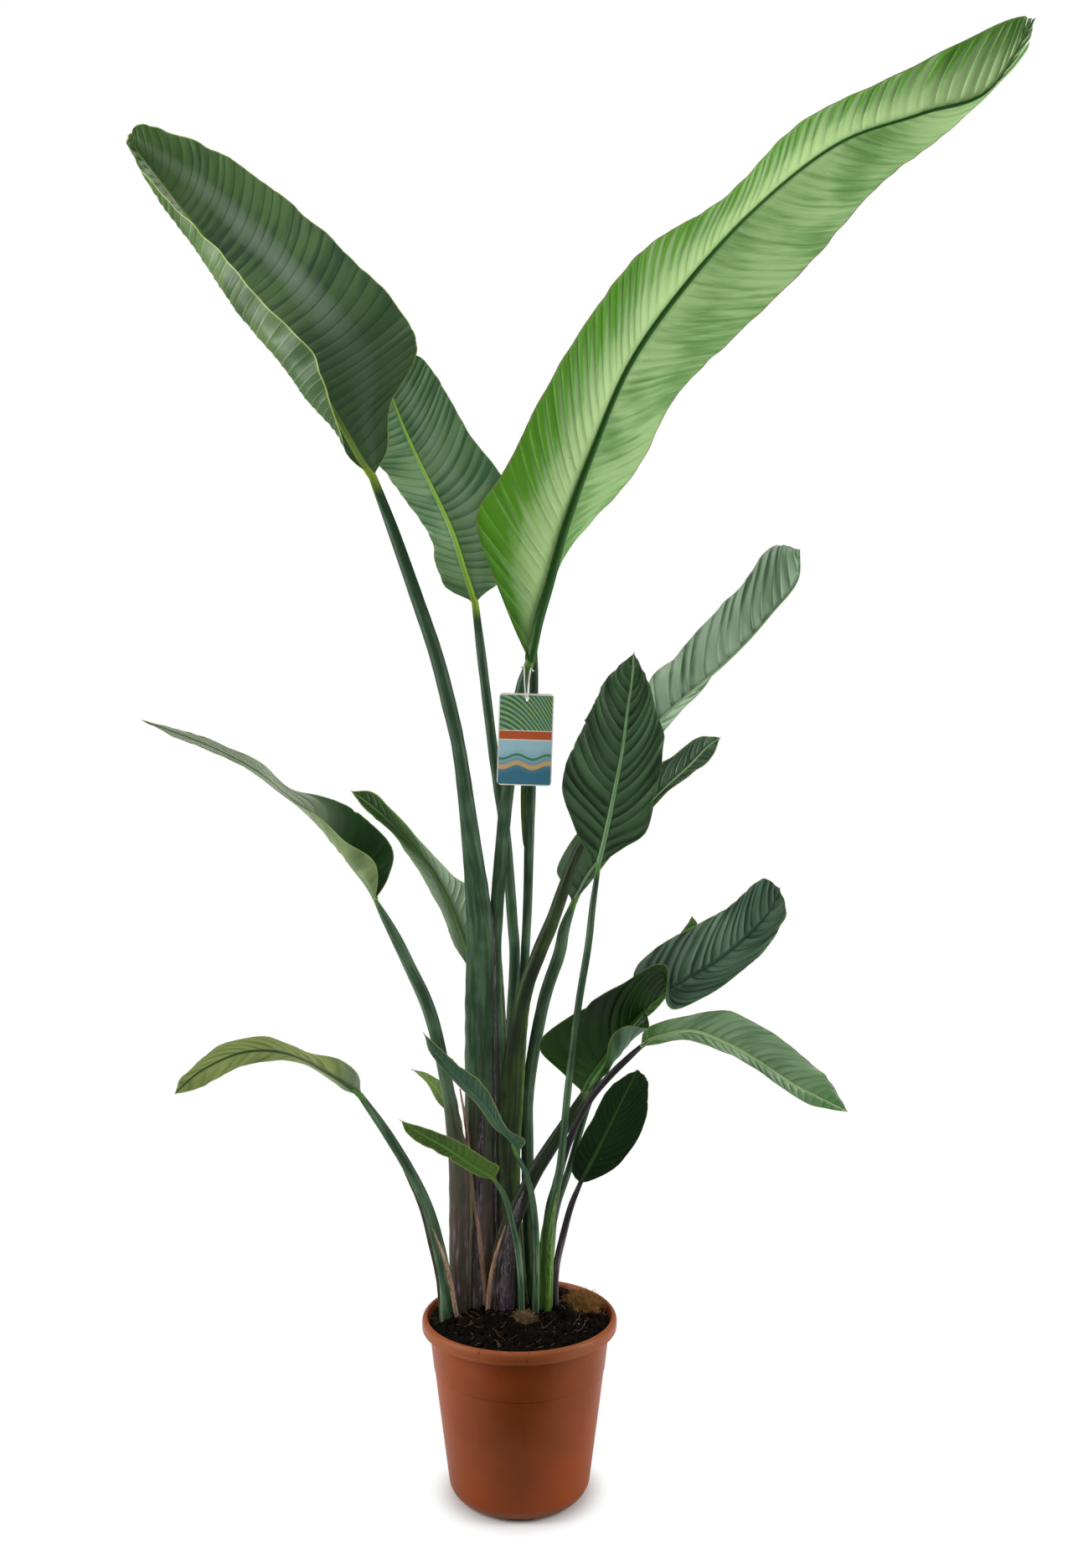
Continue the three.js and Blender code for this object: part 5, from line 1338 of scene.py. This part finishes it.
rng = np.random.default_rng(71)
crumbs = lumps(rng, spots(rng, 900, 0), rng.gamma(3, 0.75, 900) + 0.7)
bark = lumps(rng, spots(rng, 36), rng.uniform(1.5, 4, 36), (1.6, 0.7, 0.35), 0.2)
perlite = lumps(rng, spots(rng, 12), rng.uniform(0.6, 1.2, 12))
starts = spots(rng, 260)
headings = rng.normal(size=(260, 3)) * (1, 1, 0.15)
fibres = strands(rng, starts, headings, rng.uniform(8, 26, 260), 0.3, 0.35)
for litter_name, shape, material in (
        ("soil_crumbs", crumbs, CRUMB_MATERIAL), ("bark_chips", bark, BARK_MATERIAL),
        ("perlite_grains", perlite, PERLITE_MATERIAL), ("soil_fibres", fibres, FIBRE_MATERIAL)):
    ride(new_object(litter_name, *shape, 70), "peat_soil", material)

# A clump is a lumpy body with fibres round it. Its sizes are in millimetres.
MOSSES = {
    "moss_clump_right": dict(centre=(81, 18), radii=(25, 30, 9), count=1500, length=(6, 16), radius=0.3,
                             material=MOSS_MATERIAL, seed=81),
    "moss_clump_front": dict(centre=(7, -46), radii=(14, 11, 7), count=420, length=(4, 12), radius=0.35,
                             material=ROOT_MATERIAL, seed=83),
}
for moss_name, moss in MOSSES.items():
    rng = np.random.default_rng(moss["seed"])
    x, y = np.array(moss["centre"]) * MM
    middle = np.array([x, y, soil_height(x, y)])
    round_body = ball(30, 48)
    bx, by, bz = (round_body[..., k] for k in range(3))
    lumpy = 0.88 + 0.1 * bumps(rng, bx + 0.7 * bz, by, (0.35, 1.1))
    radii = np.array(moss["radii"]) * MM
    body = loft(middle + round_body * radii * lumpy[..., None])
    outs = unit(rng.normal(size=(moss["count"], 3)))
    outs[:, 2] = np.abs(outs[:, 2])
    starts = middle + outs * radii * 0.8
    headings = outs * (0.7, 0.7, 0.5) + rng.normal(size=outs.shape) * 0.5
    lengths = rng.uniform(*moss["length"], moss["count"])
    tufts = strands(rng, starts, headings, lengths, moss["radius"], 0.9, 5, 4)
    clump = new_object(moss_name + "_tuft", *merged([body, tufts]), 70)
    ride(clump, "moss", moss["material"], moss_name)


# ---- studio ----

AMBIENT = 0.3  # how bright the white room is to everything but the camera
FLOOR_LEVEL = -0.4 * MM
FLOOR_RINGS = (0.01, 0.5, 1, 2, 4, 8, 14)
SHADOW_FADE = (0.078, 0.118)  # how far from the pot's middle the floor turns plain white
FLAG_HALF_WIDTH, FLAG_HEIGHT, FLAG_PLACE = 0.2, 0.2, -0.27  # the dark card, and where it is along Y
AIM = Vector((0, 0, 0.95))  # where the lamps point
LAMPS = {  # place, size and power
    "softbox_left": ((-2.4, -0.5, 1.6), (0.7, 2.2), 58),
    "softbox_right": ((2.4, -0.3, 1.4), (0.6, 2.2), 46),
    "softbox_top": ((0, 0.4, 3.4), (1.6, 1.6), 36),
    "softbox_front": ((-0.9, -3.2, 2.8), (1.4, 1.4), 4),
}


def stage(name, points, quads):
    """A piece of the studio with a new material, and the net of that material."""
    made = new_object(name, points, quads)
    material, net = new_material(name)
    made.data.materials.append(material)
    return made, net


def studio():
    """A white floor and room, a dark card and four lamps."""
    angle = circle(96)
    r = np.array(FLOOR_RINGS)[:, None]
    grid = np.stack([r * np.cos(angle), r * np.sin(angle), 0 * r * angle + FLOOR_LEVEL], -1)
    index = np.arange(len(r) * len(angle)).reshape(len(r), -1)
    turned_index = np.roll(index, -1, axis=1)
    quads = np.stack([index[:-1], index[1:], turned_index[1:], turned_index[:-1]], -1).reshape(-1, 4)
    _, net = stage("studio_floor", grid.reshape(-1, 3), quads)
    tint = net.mix(net.noise(net.place(), 0.6), rgb("f4f3f1"), rgb("f7f6f4"))
    paper = net.signal("BsdfDiffuse", {"Color": tint})
    white = net.signal("Emission", {"Color": (1, 1, 1, 1), "Strength": 1.0})
    seen = net.signal("LightPath", output="Is Camera Ray")
    distance = net.signal("VectorMath", {0: net.place()}, "Value", operation="LENGTH")
    net.send(net.signal("MixShader", {0: distance.ramp(*SHADOW_FADE) * seen, 1: paper, 2: white}))

    # A dark card in front of the pot, out of the camera's sight, that keeps light off the pot's front.
    left, right = -FLAG_HALF_WIDTH, FLAG_HALF_WIDTH
    corners = [(left, 0), (right, 0), (right, FLAG_HEIGHT), (left, FLAG_HEIGHT)]
    card = np.array([(x, FLAG_PLACE, z) for x, z in corners])
    flag, net = stage("studio_flag", card, np.array([[0, 1, 2, 3]]))
    weave = net.mix(net.noise(net.place(), 900.0), rgb("050505"), rgb("0c0c0c"))
    net.send(net.signal("BsdfDiffuse", {"Color": weave}))
    flag.visible_camera = False

    world = bpy.data.worlds.new("studio")
    world.use_nodes = True
    world.node_tree.nodes.clear()
    net = Net(world.node_tree)
    backdrop, ambient = (net.signal("Background", {"Color": (1, 1, 1, 1), "Strength": strength})
                         for strength in (1.0, AMBIENT))
    seen = net.signal("LightPath", output="Is Camera Ray")
    net.send(net.signal("MixShader", {0: seen, 1: ambient, 2: backdrop}), "OutputWorld")
    bpy.context.scene.world = world
    for lamp_name, (place, size, power) in LAMPS.items():
        light = bpy.data.lights.new(lamp_name, "AREA")
        light.shape = "RECTANGLE"
        light.size, light.size_y = size
        light.energy = power
        lamp = bpy.data.objects.new(lamp_name, light)
        lamp.location = place
        lamp.rotation_euler = (AIM - Vector(place)).to_track_quat("-Z", "Y").to_euler()
        lamp.visible_camera = False
        bpy.context.scene.collection.objects.link(lamp)
    bpy.context.scene.view_settings.view_transform = "Standard"


studio()
